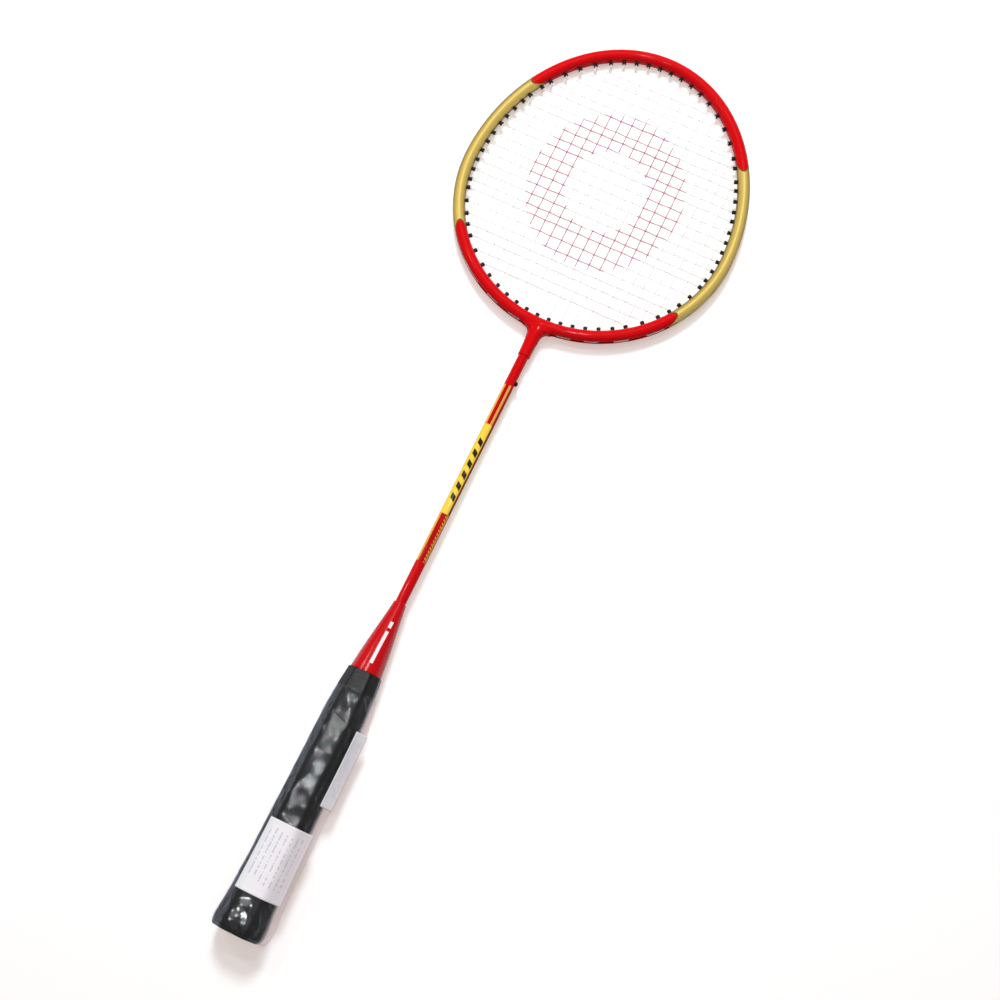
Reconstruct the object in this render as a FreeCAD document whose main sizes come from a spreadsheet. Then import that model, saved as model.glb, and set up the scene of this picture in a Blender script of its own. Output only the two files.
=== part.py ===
"""Badminton racket: strung oval hoop, T-joint, steel shaft, cone and wrapped wooden handle.

Frame: millimetres, origin at the centre of the butt end, +Y along the axis to the hoop's tip,
+X across the string bed, +Z square to the string bed. The string bed lies in the plane Z = 0.
"""
import FreeCAD, Part
import math
import os

import Sketcher
from FreeCAD import Placement, Rotation, Vector

DIMENSIONS = (
    # overall and head
    ("overall_length", 670.0, "butt end to hoop tip"),
    ("head_width", 205.0, "hoop, across the oval of its tube"),
    ("head_length", 231.5, "hoop, along the axis, over the oval of its tube"),
    ("head_widest", 541.5, "hoop's widest place, from the butt"),
    ("hoop_width", 9.0, "hoop tube, in the string plane"),
    ("hoop_depth", 10.4, "hoop tube, square to the string plane"),
    ("hoop_wall", 0.8, "hoop tube wall"),
    ("groove_depth", 1.7, "string groove round the outside"),
    ("groove_floor", 3.3, "width of the groove's flat floor"),
    ("groove_mouth", 4.2, "width of the groove where it opens"),
    # T-joint
    ("joint_angle", 10.3, "half the joint's bar, degrees of the hoop's lower ellipse"),
    ("spigot_angle", 15.8, "to the end of a spigot, degrees of the hoop's lower ellipse"),
    ("spigot_gap", 0.1, "clearance of a spigot in the hoop tube"),
    ("stem_start", 417.0, "lower end of the stem, from the butt"),
    ("stem_end_radius", 4.3, "lower end of the stem"),
    ("socket_end", 434.0, "bottom of the shaft's socket, from the butt"),
    ("peg_start", 390.0, "lower end of the peg inside the shaft, from the butt"),
    ("pin_station", 396.5, "cross pin, from the butt"),
    ("pin_diameter", 2.0, "cross pin"),
    ("pin_head_diameter", 3.6, "cross pin's head"),
    ("pin_head_height", 1.7, "cross pin's head, above the shaft"),
    # shaft and cone
    ("shaft_diameter", 7.1, "steel tube, outside"),
    ("shaft_wall", 0.5, "steel tube wall"),
    ("shaft_start", 92.0, "end of the shaft in the handle"),
    ("shaft_gap", 0.1, "clearance round the shaft in its sockets"),
    ("cone_start", 163.0, "root of the cone, under the grip"),
    ("cone_shoulder", 177.0, "where the cone leaves the grip"),
    ("cone_end", 227.5, "tip of the cone"),
    ("cone_root_diameter", 19.6, "sleeve under the grip"),
    ("cone_base_diameter", 21.6, "where it leaves the grip"),
    ("cone_tip_diameter", 9.0, "tip"),
    ("neck_diameter", 16.0, "turned end of the handle inside the cone"),
    ("neck_end", 184.0, "end of the turned neck"),
    # grip
    ("tape_thickness", 1.4, "grip tape on the wood"),
    ("lap_gap", 0.05, "between one layer and the next"),
    ("corner_ratio", 0.27, "corner cut of the octagon over its depth"),
    ("cap_thickness", 2.0, "butt cap"),
    ("staple_wire", 0.9, "butt staple wire diameter"),
    ("staple_crown", 9.0, "butt staple, leg to leg"),
    ("staple_leg", 9.0, "butt staple leg"),
    ("staple_spacing", 9.0, "from one staple to the other"),
    ("closing_thickness", 0.25, "closing tape"),
    ("film_gap", 0.4, "between the grip and its film sleeve"),
    ("film_thickness", 0.15, "film sleeve"),
    ("fin_reach", 5.5, "the sleeve's pressed edge stands out this far on the right"),
    ("fin_edge", 0.2, "half the pressed edge's thickness"),
    # labels
    ("label_start", 25.5, "front label, lower edge"),
    ("label_end", 72.0, "front label, upper edge"),
    ("label_lower_width", 31.6, "inside the front label, lower edge"),
    ("label_lower_depth", 29.2, "inside the front label, lower edge"),
    ("label_upper_width", 29.9, "inside the front label, upper edge"),
    ("label_upper_depth", 27.6, "inside the front label, upper edge"),
    ("label_reach", 2.2, "how far the front label runs out over the sleeve's right fin"),
    ("label_thickness", 0.2, "both labels"),
    ("side_label_start", 90.0, "side label, lower edge"),
    ("side_label_length", 51.0, "side label"),
    ("side_label_width", 10.0, "side label"),
    ("side_label_overlap", 2.0, "how far the side label reaches back over the octagon's bevel"),
    # strings and grommets
    ("string_diameter", 0.66, "string"),
    ("string_offset", 0.38, "string centre from the plane Z = 0"),
    ("string_bend", 0.8, "radius of a string's bend at a grommet"),
    ("main_pitch", 8.35, "from one main string to the next"),
    ("cross_pitch", 7.9, "from one cross string to the next"),
    ("cross_middle", 554.0, "middle cross string, from the butt"),
    ("share_distance", 4.0, "string ends closer than this share a grommet"),
    ("grommet_diameter", 2.7, "grommet barrel"),
    ("grommet_bore", 1.56, "grommet bore"),
    ("grommet_tip", 2.3, "grommet barrel inside the hoop"),
    ("flange_diameter", 3.3, "grommet flange"),
    ("flange_thickness", 0.6, "grommet flange"),
    ("wide_extra", 0.2, "a shared grommet is wider by this much"),
    ("drill_gap", 0.1, "hole round a grommet"),
    ("knot_diameter", 1.8, "string knot"),
    ("knot_length", 1.5, "string knot"),
)

MAIN_PAIRS = 11
CROSSES = 23

# Grip stations: name, distance from the butt, outside width (X), outside depth (Z).
GRIP_STATIONS = (
    ("butt", 2.0, 31.8, 29.4),
    ("flare", 5.5, 33.2, 30.8),
    ("heel", 22.0, 30.2, 27.8),
    ("waist", 45.0, 28.7, 26.4),
    ("hand", 85.0, 27.6, 25.3),
    ("upper", 148.0, 26.6, 24.4),
    ("shoulder", 163.0, 24.6, 23.2),
    ("top", 177.0, 21.7, 21.6),
)

# Stem stations above its lower end: distance from the butt, half width (X), half depth (Z).
STEM_STATIONS = (
    ("lower", 428.0, 4.5, 4.45),
    ("middle", 433.0, 5.0, 4.8),
    ("root", 436.0, 6.2, 5.0),
    ("web", 438.5, 9.6, 4.8),
    ("bar", 442.0, 15.0, 3.6),
)

doc = FreeCAD.newDocument("badminton_racket")
sheet = doc.addObject("Spreadsheet::Sheet", "dims")


# ---------------------------------------------------------------- driving dimensions

def all_dimensions():
    """The driving dimensions, with the grip's and the stem's stations as cells of their own."""
    rows = list(DIMENSIONS)
    for name, station, width, depth in GRIP_STATIONS:
        rows.append(("grip_%s_station" % name, station, "grip, from the butt"))
        rows.append(("grip_%s_width" % name, width, "grip, outside"))
        rows.append(("grip_%s_depth" % name, depth, "grip, outside"))
    for name, station, half_width, half_depth in STEM_STATIONS:
        rows.append(("stem_%s_station" % name, station, "stem, from the butt"))
        rows.append(("stem_%s_width" % name, half_width, "stem, half width"))
        rows.append(("stem_%s_depth" % name, half_depth, "stem, half depth"))
    return rows


def fill_sheet():
    for row, (alias, value, note) in enumerate(all_dimensions(), start=1):
        sheet.set("A%d" % row, note)
        sheet.set("B%d" % row, str(value))
        sheet.setAlias("B%d" % row, alias)
    doc.recompute()


def dim(alias):
    return float(getattr(sheet, alias))


# ---------------------------------------------------------------- hoop geometry

def hoop_frame(angle):
    """Centre-line point and outward normal at an angle in radians from +X, on the half ellipse it falls in."""
    half_tube = dim("hoop_width") / 2
    across = dim("head_width") / 2 - half_tube
    if math.sin(angle) > 0:
        along = dim("overall_length") - dim("head_widest") - half_tube
    else:
        along = dim("head_widest") - (dim("overall_length") - dim("head_length")) - half_tube
    point = Vector(across * math.cos(angle), dim("head_widest") + along * math.sin(angle), 0)
    normal = Vector(math.cos(angle) / across, math.sin(angle) / along, 0)
    return point, normal.normalize()


def hoop_offset(angle, outward, height=0.0):
    """The point at a distance outside the centre line, and at a height over the string plane."""
    point, normal = hoop_frame(angle)
    return point + normal * outward + Vector(0, 0, height)


def section_placement(angle):
    """Placement of a tube section at an ellipse angle: its x axis is outward, its y axis is +Z."""
    point, normal = hoop_frame(angle)
    up = Vector(0, 0, 1)
    return Placement(point, Rotation(normal, up, normal.cross(up), "ZXY"))


# ---------------------------------------------------------------- document helpers

def bind(obj, **expressions):
    for prop, expression in expressions.items():
        obj.setExpression(prop.replace("__", "."), expression)


def polygon(sketch, points):
    """A closed outline whose corners are expressions of the sheet's cells."""
    count = len(points)
    guess = [(math.cos(2 * math.pi * k / count), math.sin(2 * math.pi * k / count)) for k in range(count)]
    for k in range(count):
        start = Vector(*guess[k], 0)
        end = Vector(*guess[(k + 1) % count], 0)
        sketch.addGeometry(Part.LineSegment(start, end), False)
    for k in range(count):
        sketch.addConstraint(Sketcher.Constraint("Coincident", k, 2, (k + 1) % count, 1))
    for k, corner in enumerate(points):
        for kind, expression in zip(("DistanceX", "DistanceY"), corner):
            index = sketch.addConstraint(Sketcher.Constraint(kind, -1, 1, k, 1, guess[k][kind[-1] == "Y"]))
            sketch.setExpression("Constraints[%d]" % index, expression)


def circle(sketch, diameter):
    sketch.addGeometry(Part.Circle(Vector(0, 0, 0), Vector(0, 0, 1), 5.0), False)
    sketch.addConstraint(Sketcher.Constraint("Coincident", 0, 3, -1, 1))
    index = sketch.addConstraint(Sketcher.Constraint("Diameter", 0, 10.0))
    sketch.setExpression("Constraints[%d]" % index, diameter)


def body_sketch(body, name, plane, station=None):
    """A sketch on one of the body's origin planes, moved along +Y to a station on the XZ plane."""
    sketch = body.newObject("Sketcher::SketchObject", name)
    origin_plane = next(feature for feature in body.Origin.OriginFeatures if feature.Role == plane)
    sketch.AttachmentSupport = [(origin_plane, "")]
    sketch.MapMode = "FlatFace"
    if station:
        sketch.setExpression("AttachmentOffset.Base.z", "-(%s)" % station)
    return sketch


def new_body(name):
    body = doc.addObject("PartDesign::Body", name)
    body.Label = name
    return body


def octagon(width, depth):
    """Corners of the grip's octagon as expressions."""
    cut = "dims.corner_ratio * (%s)" % depth
    half_width = "(%s) / 2" % width
    half_depth = "(%s) / 2" % depth
    inner_width = "(%s - %s)" % (half_width, cut)
    inner_depth = "(%s - %s)" % (half_depth, cut)
    return (
        (inner_width, half_depth), (half_width, inner_depth),
        (half_width, "-" + inner_depth), (inner_width, "-(%s)" % half_depth),
        ("-" + inner_width, "-(%s)" % half_depth), ("-(%s)" % half_width, "-" + inner_depth),
        ("-(%s)" % half_width, inner_depth), ("-" + inner_width, half_depth),
    )


def octagon_loft(body, name, kind, stations, growth):
    """An octagonal loft through the named grip stations, grown or shrunk by an expression."""
    sketches = []
    for station in stations:
        sketch = body_sketch(body, "%s_%s" % (name, station), "XZ_Plane", "dims.grip_%s_station" % station)
        width = "dims.grip_%s_width + 2 * (%s)" % (station, growth)
        depth = "dims.grip_%s_depth + 2 * (%s)" % (station, growth)
        polygon(sketch, octagon(width, depth))
        sketches.append(sketch)
    return loft(body, name, kind, sketches)


def loft(body, name, kind, sketches):
    feature = body.newObject(kind, name)
    feature.Profile = (sketches[0], [""])
    feature.Sections = [(sketch, [""]) for sketch in sketches[1:]]
    feature.Ruled = True
    return feature


def pad(body, name, sketch, length):
    """A pad from a sketch on the XZ plane towards +Y."""
    feature = body.newObject("PartDesign::Pad", name)
    feature.Profile = sketch
    feature.Reversed = True
    bind(feature, Length=length)
    return feature


def bore(body, name, station, diameter, length):
    """A round pocket from a station on the axis towards -Y."""
    sketch = body_sketch(body, name + "_sketch", "XZ_Plane", station)
    circle(sketch, diameter)
    doc.recompute()
    before = body.Shape.Volume
    feature = body.newObject("PartDesign::Pocket", name)
    feature.Profile = sketch
    feature.Reversed = True
    bind(feature, Length=length)
    doc.recompute()
    if not body.Shape.Volume < before:
        raise RuntimeError("%s cuts nothing" % name)
    return feature


def ellipse_section(name, half_width, half_depth, angle):
    """An upright oval section of the hoop; both half sizes are expressions."""
    section = doc.addObject("Part::Ellipse", name)
    bind(section, MajorRadius=half_depth, MinorRadius=half_width)
    place = section_placement(angle)
    section.Placement = Placement(place.Base, place.Rotation.multiply(Rotation(Vector(0, 0, 1), 90)))
    return section


def groove_section(name, wall, angle):
    """The groove's trapezium, grown by a wall expression."""
    section = doc.addObject("Sketcher::SketchObject", name)
    floor = "dims.hoop_width / 2 - dims.groove_depth - (%s)" % wall
    mouth = "dims.hoop_width / 2 + 0.5"
    half_floor = "(dims.groove_floor / 2 + (%s))" % wall
    half_mouth = "(dims.groove_mouth / 2 + (%s))" % wall
    polygon(section, ((floor, half_floor), (floor, "-" + half_floor),
                      (mouth, "-" + half_mouth), (mouth, half_mouth)))
    section.Placement = section_placement(angle)
    return section


def hoop_arc(name, along, first, last):
    """An arc of a half ellipse of the hoop's centre line; angles are in degrees from the tip, anticlockwise."""
    arc = doc.addObject("Part::Ellipse", name)
    bind(arc, MajorRadius=along, MinorRadius="(dims.head_width - dims.hoop_width) / 2", Angle1=first, Angle2=last)
    arc.Placement = Placement(Vector(0, dim("head_widest"), 0), Rotation(Vector(0, 0, 1), 90))
    return arc


def lower_arc(name, first, last):
    lower = "dims.head_widest - (dims.overall_length - dims.head_length) - dims.hoop_width / 2"
    return hoop_arc(name, lower, first, last)


def hoop_spine():
    """The centre line from one side of the joint round to the other."""
    spine = doc.addObject("Part::Compound", "hoop_spine")
    spine.Links = [
        lower_arc("right_arc", "180 + dims.joint_angle", "270"),
        hoop_arc("upper_arc", "dims.overall_length - dims.head_widest - dims.hoop_width / 2", "270", "90"),
        lower_arc("left_arc", "90", "180 - dims.joint_angle"),
    ]
    return spine


def sweep(name, section, spine):
    feature = doc.addObject("Part::Sweep", name)
    feature.Sections = [section]
    feature.Spine = (spine, [])
    feature.Solid = True
    return feature


def cut(name, base, tools):
    """One object minus several; the result carries the sub-part's name."""
    tool = tools[0]
    if len(tools) > 1:
        tool = doc.addObject("Part::MultiFuse", name + "_tools")
        tool.Shapes = tools
    feature = doc.addObject("Part::Cut", name)
    feature.Base = base
    feature.Tool = tool
    feature.Label = name
    return feature


def shape_feature(name, shape):
    feature = doc.addObject("Part::Feature", name)
    feature.Shape = shape
    feature.Placement = Placement()
    feature.Label = name
    return feature


def axis_cylinder(name, station, diameter, length):
    """A cylinder on the racket's axis from a station towards +Y."""
    feature = doc.addObject("Part::Cylinder", name)
    bind(feature, Radius="(%s) / 2" % diameter, Height=length)
    feature.Placement = Placement(Vector(0, 0, 0), Rotation(Vector(1, 0, 0), -90))
    feature.setExpression("Placement.Base.y", station)
    return feature


# ---------------------------------------------------------------- string layout

def string_height():
    return dim("string_offset")


def bend_inset():
    """Where a string bends inside the hoop, measured inward from the centre line."""
    return dim("hoop_width") / 2 + dim("grommet_tip") + 0.4


def run_level():
    """Where a string runs in the groove, measured outward from the centre line."""
    floor = dim("hoop_width") / 2 - dim("groove_depth")
    return floor + dim("flange_thickness") + dim("string_diameter") / 2 + 0.05


def angle_where(axis, target, low, high):
    """Ellipse angle between two others where the strings' bend point has a coordinate."""
    rising = hoop_offset(high, -bend_inset())[axis] > hoop_offset(low, -bend_inset())[axis]
    for _ in range(50):
        middle = (low + high) / 2
        below = hoop_offset(middle, -bend_inset())[axis] < target
        if below == rising:
            low = middle
        else:
            high = middle
    return (low + high) / 2


def arc_gap(first, second):
    return (hoop_offset(first, 0) - hoop_offset(second, 0)).Length


def right_side_holes():
    """Holes up the right side as (angle, [string ends]), with close ends sharing one hole."""
    ends = []
    for index in range(MAIN_PAIRS):
        station = (index + 0.5) * dim("main_pitch")
        ends.append((angle_where(0, station, 0.0, math.pi / 2), ("main", index, "top")))
        ends.append((angle_where(0, station, -math.pi / 2, 0.0), ("main", index, "bottom")))
    for index in range(CROSSES):
        station = dim("cross_middle") + (index - (CROSSES - 1) / 2) * dim("cross_pitch")
        angle = angle_where(1, station, -math.pi / 2, math.pi / 2)
        ends.append((angle, ("cross", index, "right")))
    ends.sort()
    holes = [[ends[0]]]
    for end in ends[1:]:
        if arc_gap(end[0], holes[-1][-1][0]) < dim("share_distance"):
            holes[-1].append(end)
        else:
            holes.append([end])
    return [(sum(end[0] for end in hole) / len(hole), [end[1] for end in hole]) for hole in holes]


def all_holes():
    """Every hole as (angle, [string ends]), the left side mirrored from the right."""
    right = right_side_holes()
    left = []
    for angle, ends in right:
        mirrored = []
        for kind, index, place in ends:
            if kind == "main":
                mirrored.append((kind, -1 - index, place))
            else:
                mirrored.append((kind, index, "left"))
        left.append((math.pi - angle, mirrored))
    return right + left


def hole_angles(holes):
    """Angle of the hole for each string end."""
    return {end: angle for angle, ends in holes for end in ends}


def groove_walk(first, last, height):
    """Points in the groove from one hole to another, near enough to follow its curve."""
    if last - first > math.pi:
        last -= 2 * math.pi
    if first - last > math.pi:
        last += 2 * math.pi
    steps = max(1, round(arc_gap(first, last) / 7.0))
    return [hoop_offset(first + (last - first) * k / steps, run_level(), height) for k in range(steps + 1)]


def path_through(stops, tails, height):
    """Corners of a string that passes hole after hole, inside and outside the hoop by turns."""
    start_tie, end_tie = tails
    points = [hoop_offset(start_tie, -bend_inset() - 1.2, height)]
    outside = groove_walk(start_tie, stops[0], height)
    for stop, following in zip(stops[::2], stops[1::2]):
        points += outside
        points.append(hoop_offset(stop, -bend_inset(), height))
        points.append(hoop_offset(following, -bend_inset(), height))
        position = stops.index(following)
        after = stops[position + 1] if position + 1 < len(stops) else end_tie
        outside = groove_walk(following, after, height)
    points += outside
    points.append(hoop_offset(end_tie, -bend_inset() - 1.2, height))
    return points


def rounded_wire(points):
    """Straight runs joined by tangent arcs: tight at the grommets, wide along the groove."""
    tight = dim("string_bend")
    edges = []
    position = points[0]
    for before, corner, after in zip(points, points[1:], points[2:]):
        inward = (before - corner).normalize()
        outward = (after - corner).normalize()
        half_turn = (math.pi - inward.getAngle(outward)) / 2
        shortest = min((before - corner).Length, (after - corner).Length)
        reach = tight * math.tan(half_turn)
        if half_turn < math.radians(12):
            reach = 0.4 * shortest
        reach = min(reach, 0.42 * shortest)
        radius = reach / math.tan(half_turn)
        bisector = (inward + outward).normalize()
        centre = corner + bisector * (radius / math.cos(half_turn))
        first = corner + inward * reach
        last = corner + outward * reach
        edges.append(Part.LineSegment(position, first).toShape())
        edges.append(Part.Arc(first, centre - bisector * radius, last).toShape())
        position = last
    edges.append(Part.LineSegment(position, points[-1]).toShape())
    return Part.Wire(edges)


def string_solid(points):
    wire = rounded_wire(points)
    direction = points[1] - points[0]
    profile = Part.Wire(Part.makeCircle(dim("string_diameter") / 2, points[0], direction))
    return Part.Solid(wire.makePipeShell([profile], True, False).Shells[0]), wire.Length


# ---------------------------------------------------------------- head

def drill_tool(name, holes, gap):
    """Radial cylinders through the tube, one for each hole."""
    tools = []
    for angle, ends in holes:
        point, normal = hoop_frame(angle)
        diameter = dim("grommet_diameter") + (dim("wide_extra") if len(ends) > 1 else 0) + gap
        start = point - normal * (dim("hoop_width") / 2 + 2)
        length = dim("hoop_width") + 1.9
        tools.append(Part.makeCylinder(diameter / 2, length, start, normal))
    return shape_feature(name, Part.makeCompound(tools))


def near_bottom(angle, limit):
    """Whether a hole is within a number of degrees of the hoop's lowest point."""
    from_bottom = abs(math.atan2(math.cos(angle), -math.sin(angle)))
    return from_bottom < math.radians(limit)


def in_joint(angle):
    """Whether a hole goes through the T-joint's bar."""
    return near_bottom(angle, dim("joint_angle"))


def in_spigot(angle):
    """Whether a hole meets the T-joint at all, in its bar or in a spigot inside the tube."""
    return near_bottom(angle, dim("spigot_angle") + 2)


def make_head_frame(holes):
    start = math.radians(90 + 180 + dim("joint_angle"))
    spine = hoop_spine()
    outside = ellipse_section("hoop_section", "dims.hoop_width / 2", "dims.hoop_depth / 2", start)
    inside = ellipse_section("bore_section", "dims.hoop_width / 2 - dims.hoop_wall",
                             "dims.hoop_depth / 2 - dims.hoop_wall", start)
    groove = sweep("hoop_groove", groove_section("groove_section", "0 * dims.hoop_wall", start), spine)
    lining = sweep("groove_lining", groove_section("lining_section", "dims.hoop_wall * 0.9", start), spine)
    hollow = cut("hoop_hollow", sweep("hoop_bore", inside, spine), [lining])
    drills = drill_tool("hoop_drills", [hole for hole in holes if not in_joint(hole[0])], dim("drill_gap"))
    return cut("head_frame", sweep("hoop_blank", outside, spine), [hollow, groove, drills])


def stem_section(name, station, half_width, half_depth):
    section = doc.addObject("Part::Ellipse", name)
    bind(section, MajorRadius=half_width, MinorRadius=half_depth)
    section.Placement = Placement(Vector(0, 0, 0), Rotation(Vector(1, 0, 0), -90))
    section.setExpression("Placement.Base.y", station)
    return section


def make_t_joint(holes):
    start = math.radians(90 + 180 - dim("joint_angle"))
    bar_spine = lower_arc("bar_spine", "180 - dims.joint_angle", "180 + dims.joint_angle")
    outside = ellipse_section("bar_section", "dims.hoop_width / 2", "dims.hoop_depth / 2", start)
    bar = sweep("joint_bar", outside, bar_spine)

    spigot_start = math.radians(90 + 180 - dim("spigot_angle"))
    spigot_spine = lower_arc("spigot_spine", "180 - dims.spigot_angle", "180 + dims.spigot_angle")
    fit = "dims.hoop_wall + dims.spigot_gap"
    core = ellipse_section("spigot_section", "dims.hoop_width / 2 - (%s)" % fit,
                           "dims.hoop_depth / 2 - (%s)" % fit, spigot_start)
    relief = sweep("spigot_relief", groove_section("relief_section", fit, spigot_start), spigot_spine)
    spigots = cut("joint_spigots", sweep("spigot_core", core, spigot_spine), [relief])

    sections = [stem_section("stem_end", "dims.stem_start", "dims.stem_end_radius", "dims.stem_end_radius")]
    for name, *_ in STEM_STATIONS:
        sections.append(stem_section("stem_" + name, "dims.stem_%s_station" % name,
                                     "dims.stem_%s_width" % name, "dims.stem_%s_depth" % name))
    stem = doc.addObject("Part::Loft", "joint_stem")
    stem.Sections = sections
    stem.Solid = True

    blank = doc.addObject("Part::MultiFuse", "joint_blank")
    blank.Shapes = [bar, spigots, stem]

    groove = sweep("joint_groove", groove_section("joint_groove_section", "0 * dims.hoop_wall", start), bar_spine)
    socket = axis_cylinder("joint_socket", "dims.stem_start - 1", "dims.shaft_diameter + dims.shaft_gap",
                           "dims.socket_end - dims.stem_start + 1")
    shell = cut("joint_shell", blank, [groove, socket])
    peg = axis_cylinder("joint_peg", "dims.peg_start",
                        "dims.shaft_diameter - 2 * dims.shaft_wall - dims.shaft_gap",
                        "dims.socket_end - dims.peg_start + 1")
    pegged = doc.addObject("Part::Fuse", "joint_pegged")
    pegged.Base = shell
    pegged.Tool = peg
    pin_hole = cross_cylinder("joint_pin_hole", "dims.pin_diameter + 0.1",
                              "-dims.shaft_diameter / 2", "dims.shaft_diameter")
    drills = drill_tool("joint_drills", [hole for hole in holes if in_spigot(hole[0])], dim("drill_gap"))
    return cut("t_joint", pegged, [pin_hole, drills])


def cross_cylinder(name, diameter, start, length):
    """A cylinder across the shaft at the pin's station, from a start towards +X."""
    feature = doc.addObject("Part::Cylinder", name)
    bind(feature, Radius="(%s) / 2" % diameter, Height=length)
    feature.Placement = Placement(Vector(0, 0, 0), Rotation(Vector(0, 1, 0), 90))
    feature.setExpression("Placement.Base.x", start)
    feature.setExpression("Placement.Base.y", "dims.pin_station")
    return feature


def make_stem_pin():
    """A shank through the shaft and the peg, and a head that is saddled on the shaft's right side."""
    shank = cross_cylinder("pin_shank", "dims.pin_diameter", "0.1 - dims.shaft_diameter / 2",
                           "dims.shaft_diameter")
    head = cross_cylinder("pin_head", "dims.pin_head_diameter", "0",
                          "dims.shaft_diameter / 2 + dims.pin_head_height")
    saddle = axis_cylinder("pin_saddle", "dims.pin_station - dims.pin_head_diameter",
                           "dims.shaft_diameter + 0.04", "2 * dims.pin_head_diameter")
    cap = cut("pin_cap", head, [saddle])
    pin = doc.addObject("Part::Fuse", "stem_pin")
    pin.Base = cap
    pin.Tool = shank
    pin.Label = "stem_pin"
    return pin


def grommet(wide):
    """One eyelet at the origin with its axis along +X, its flange outward."""
    extra = dim("wide_extra") if wide else 0.0
    axis = Vector(1, 0, 0)
    floor = dim("hoop_width") / 2 - dim("groove_depth")
    tip = -(dim("hoop_width") / 2 + dim("grommet_tip"))
    barrel_radius = (dim("grommet_diameter") + extra) / 2
    flange_radius = min(dim("flange_diameter") + extra, dim("groove_floor") - 0.05) / 2
    barrel = Part.makeCylinder(barrel_radius, floor - tip + dim("flange_thickness"), Vector(tip, 0, 0), axis)
    flange = Part.makeCylinder(flange_radius, dim("flange_thickness"), Vector(floor, 0, 0), axis)
    hole_radius = (dim("grommet_bore") + extra) / 2
    hole = Part.makeCylinder(hole_radius, 2 * dim("hoop_width"), Vector(-dim("hoop_width"), 0, 0), axis)
    return barrel.fuse(flange).cut(hole).removeSplitter()


def make_grommets(name, holes):
    """A group of separate eyelets in one node."""
    solids = []
    for angle, ends in holes:
        point, normal = hoop_frame(angle)
        solid = grommet(len(ends) > 1)
        up = Vector(0, 0, 1)
        solid.Placement = Placement(point, Rotation(normal, up.cross(normal), up, "XZY"))
        solids.append(solid)
    return shape_feature(name, Part.makeCompound(solids))


def sort_grommets(holes, tie_angles):
    """The holes by the group of grommets that lines them."""
    groups = {"grommets_" + name: [] for name in
              ("top", "bottom", "left", "right", "throat", "shared", "tie_off")}
    for hole in holes:
        angle, ends = hole
        kind, _, place = ends[0]
        if any(abs(angle - tie) < 1e-6 for tie in tie_angles):
            group = "tie_off"
        elif in_joint(angle):
            group = "throat"
        elif len(ends) > 1:
            group = "shared"
        else:
            group = place
        groups["grommets_" + group].append(hole)
    return groups


def neighbour_tie(holes, end, kind):
    """Angle of the hole next to a string's last one that takes one string of the other kind."""
    angles = hole_angles(holes)
    candidates = [angle for angle, ends in holes if len(ends) == 1 and ends[0][0] == kind]
    return min(candidates, key=lambda angle: arc_gap(angle, angles[end]))


def main_stops(holes):
    """Hole angles of the main string from its left tie to its right tie."""
    angles = hole_angles(holes)
    stops = []
    for index in range(MAIN_PAIRS):
        places = ("bottom", "top") if index % 2 == 0 else ("top", "bottom")
        stops += [angles[("main", index, place)] for place in places]
    left = []
    for index in range(MAIN_PAIRS):
        places = ("bottom", "top") if index % 2 == 0 else ("top", "bottom")
        left += [angles[("main", -1 - index, place)] for place in places]
    return left[::-1] + stops


def cross_stops(holes):
    """Hole angles of the cross string from the lowest cross to the highest."""
    angles = hole_angles(holes)
    stops = []
    for index in range(CROSSES):
        places = ("right", "left") if index % 2 == 0 else ("left", "right")
        stops += [angles[("cross", index, place)] for place in places]
    return stops


def make_string(name, stops, ties, height):
    solid, length = string_solid(path_through(stops, ties, height))
    print("%s: %.0f mm long, %.1f mm3, expected %.1f mm3" % (
        name, length, solid.Volume, math.pi * dim("string_diameter") ** 2 / 4 * length))
    return shape_feature(name, solid)


def make_knots(ties):
    """One knot on each string tail, against the inner end of its grommet."""
    solids = []
    for angle, height in ties:
        direction = hoop_frame(angle)[1]
        side = math.copysign(1, height)
        start = hoop_offset(angle, -bend_inset() - dim("knot_length") + 0.3, side * (dim("knot_diameter") / 2))
        knot = Part.makeCylinder(dim("knot_diameter") / 2, dim("knot_length"), start, direction)
        tail = hoop_offset(angle, -bend_inset() - 2 * dim("knot_length"), height)
        passage = Part.makeCylinder(dim("string_diameter") / 2 + 0.02, 4 * dim("knot_length"), tail, direction)
        solids.append(knot.cut(passage))
    return shape_feature("string_knots", Part.makeCompound(solids))


# ---------------------------------------------------------------- shaft and handle

def make_shaft():
    body = new_body("shaft")
    sketch = body_sketch(body, "shaft_sketch", "XZ_Plane", "dims.shaft_start")
    circle(sketch, "dims.shaft_diameter")
    pad(body, "shaft_pad", sketch, "dims.socket_end - dims.shaft_start")
    bore(body, "shaft_bore", "dims.socket_end", "dims.shaft_diameter - 2 * dims.shaft_wall",
         "dims.socket_end - dims.shaft_start")
    pin_sketch = body_sketch(body, "shaft_pin_sketch", "YZ_Plane")
    circle(pin_sketch, "dims.pin_diameter + 0.1")
    pin_sketch.setExpression("AttachmentOffset.Base.x", "dims.pin_station")
    hole = body.newObject("PartDesign::Pocket", "shaft_pin_hole")
    hole.Profile = pin_sketch
    hole.Midplane = True
    bind(hole, Length="2 * dims.shaft_diameter")
    return body


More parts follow.
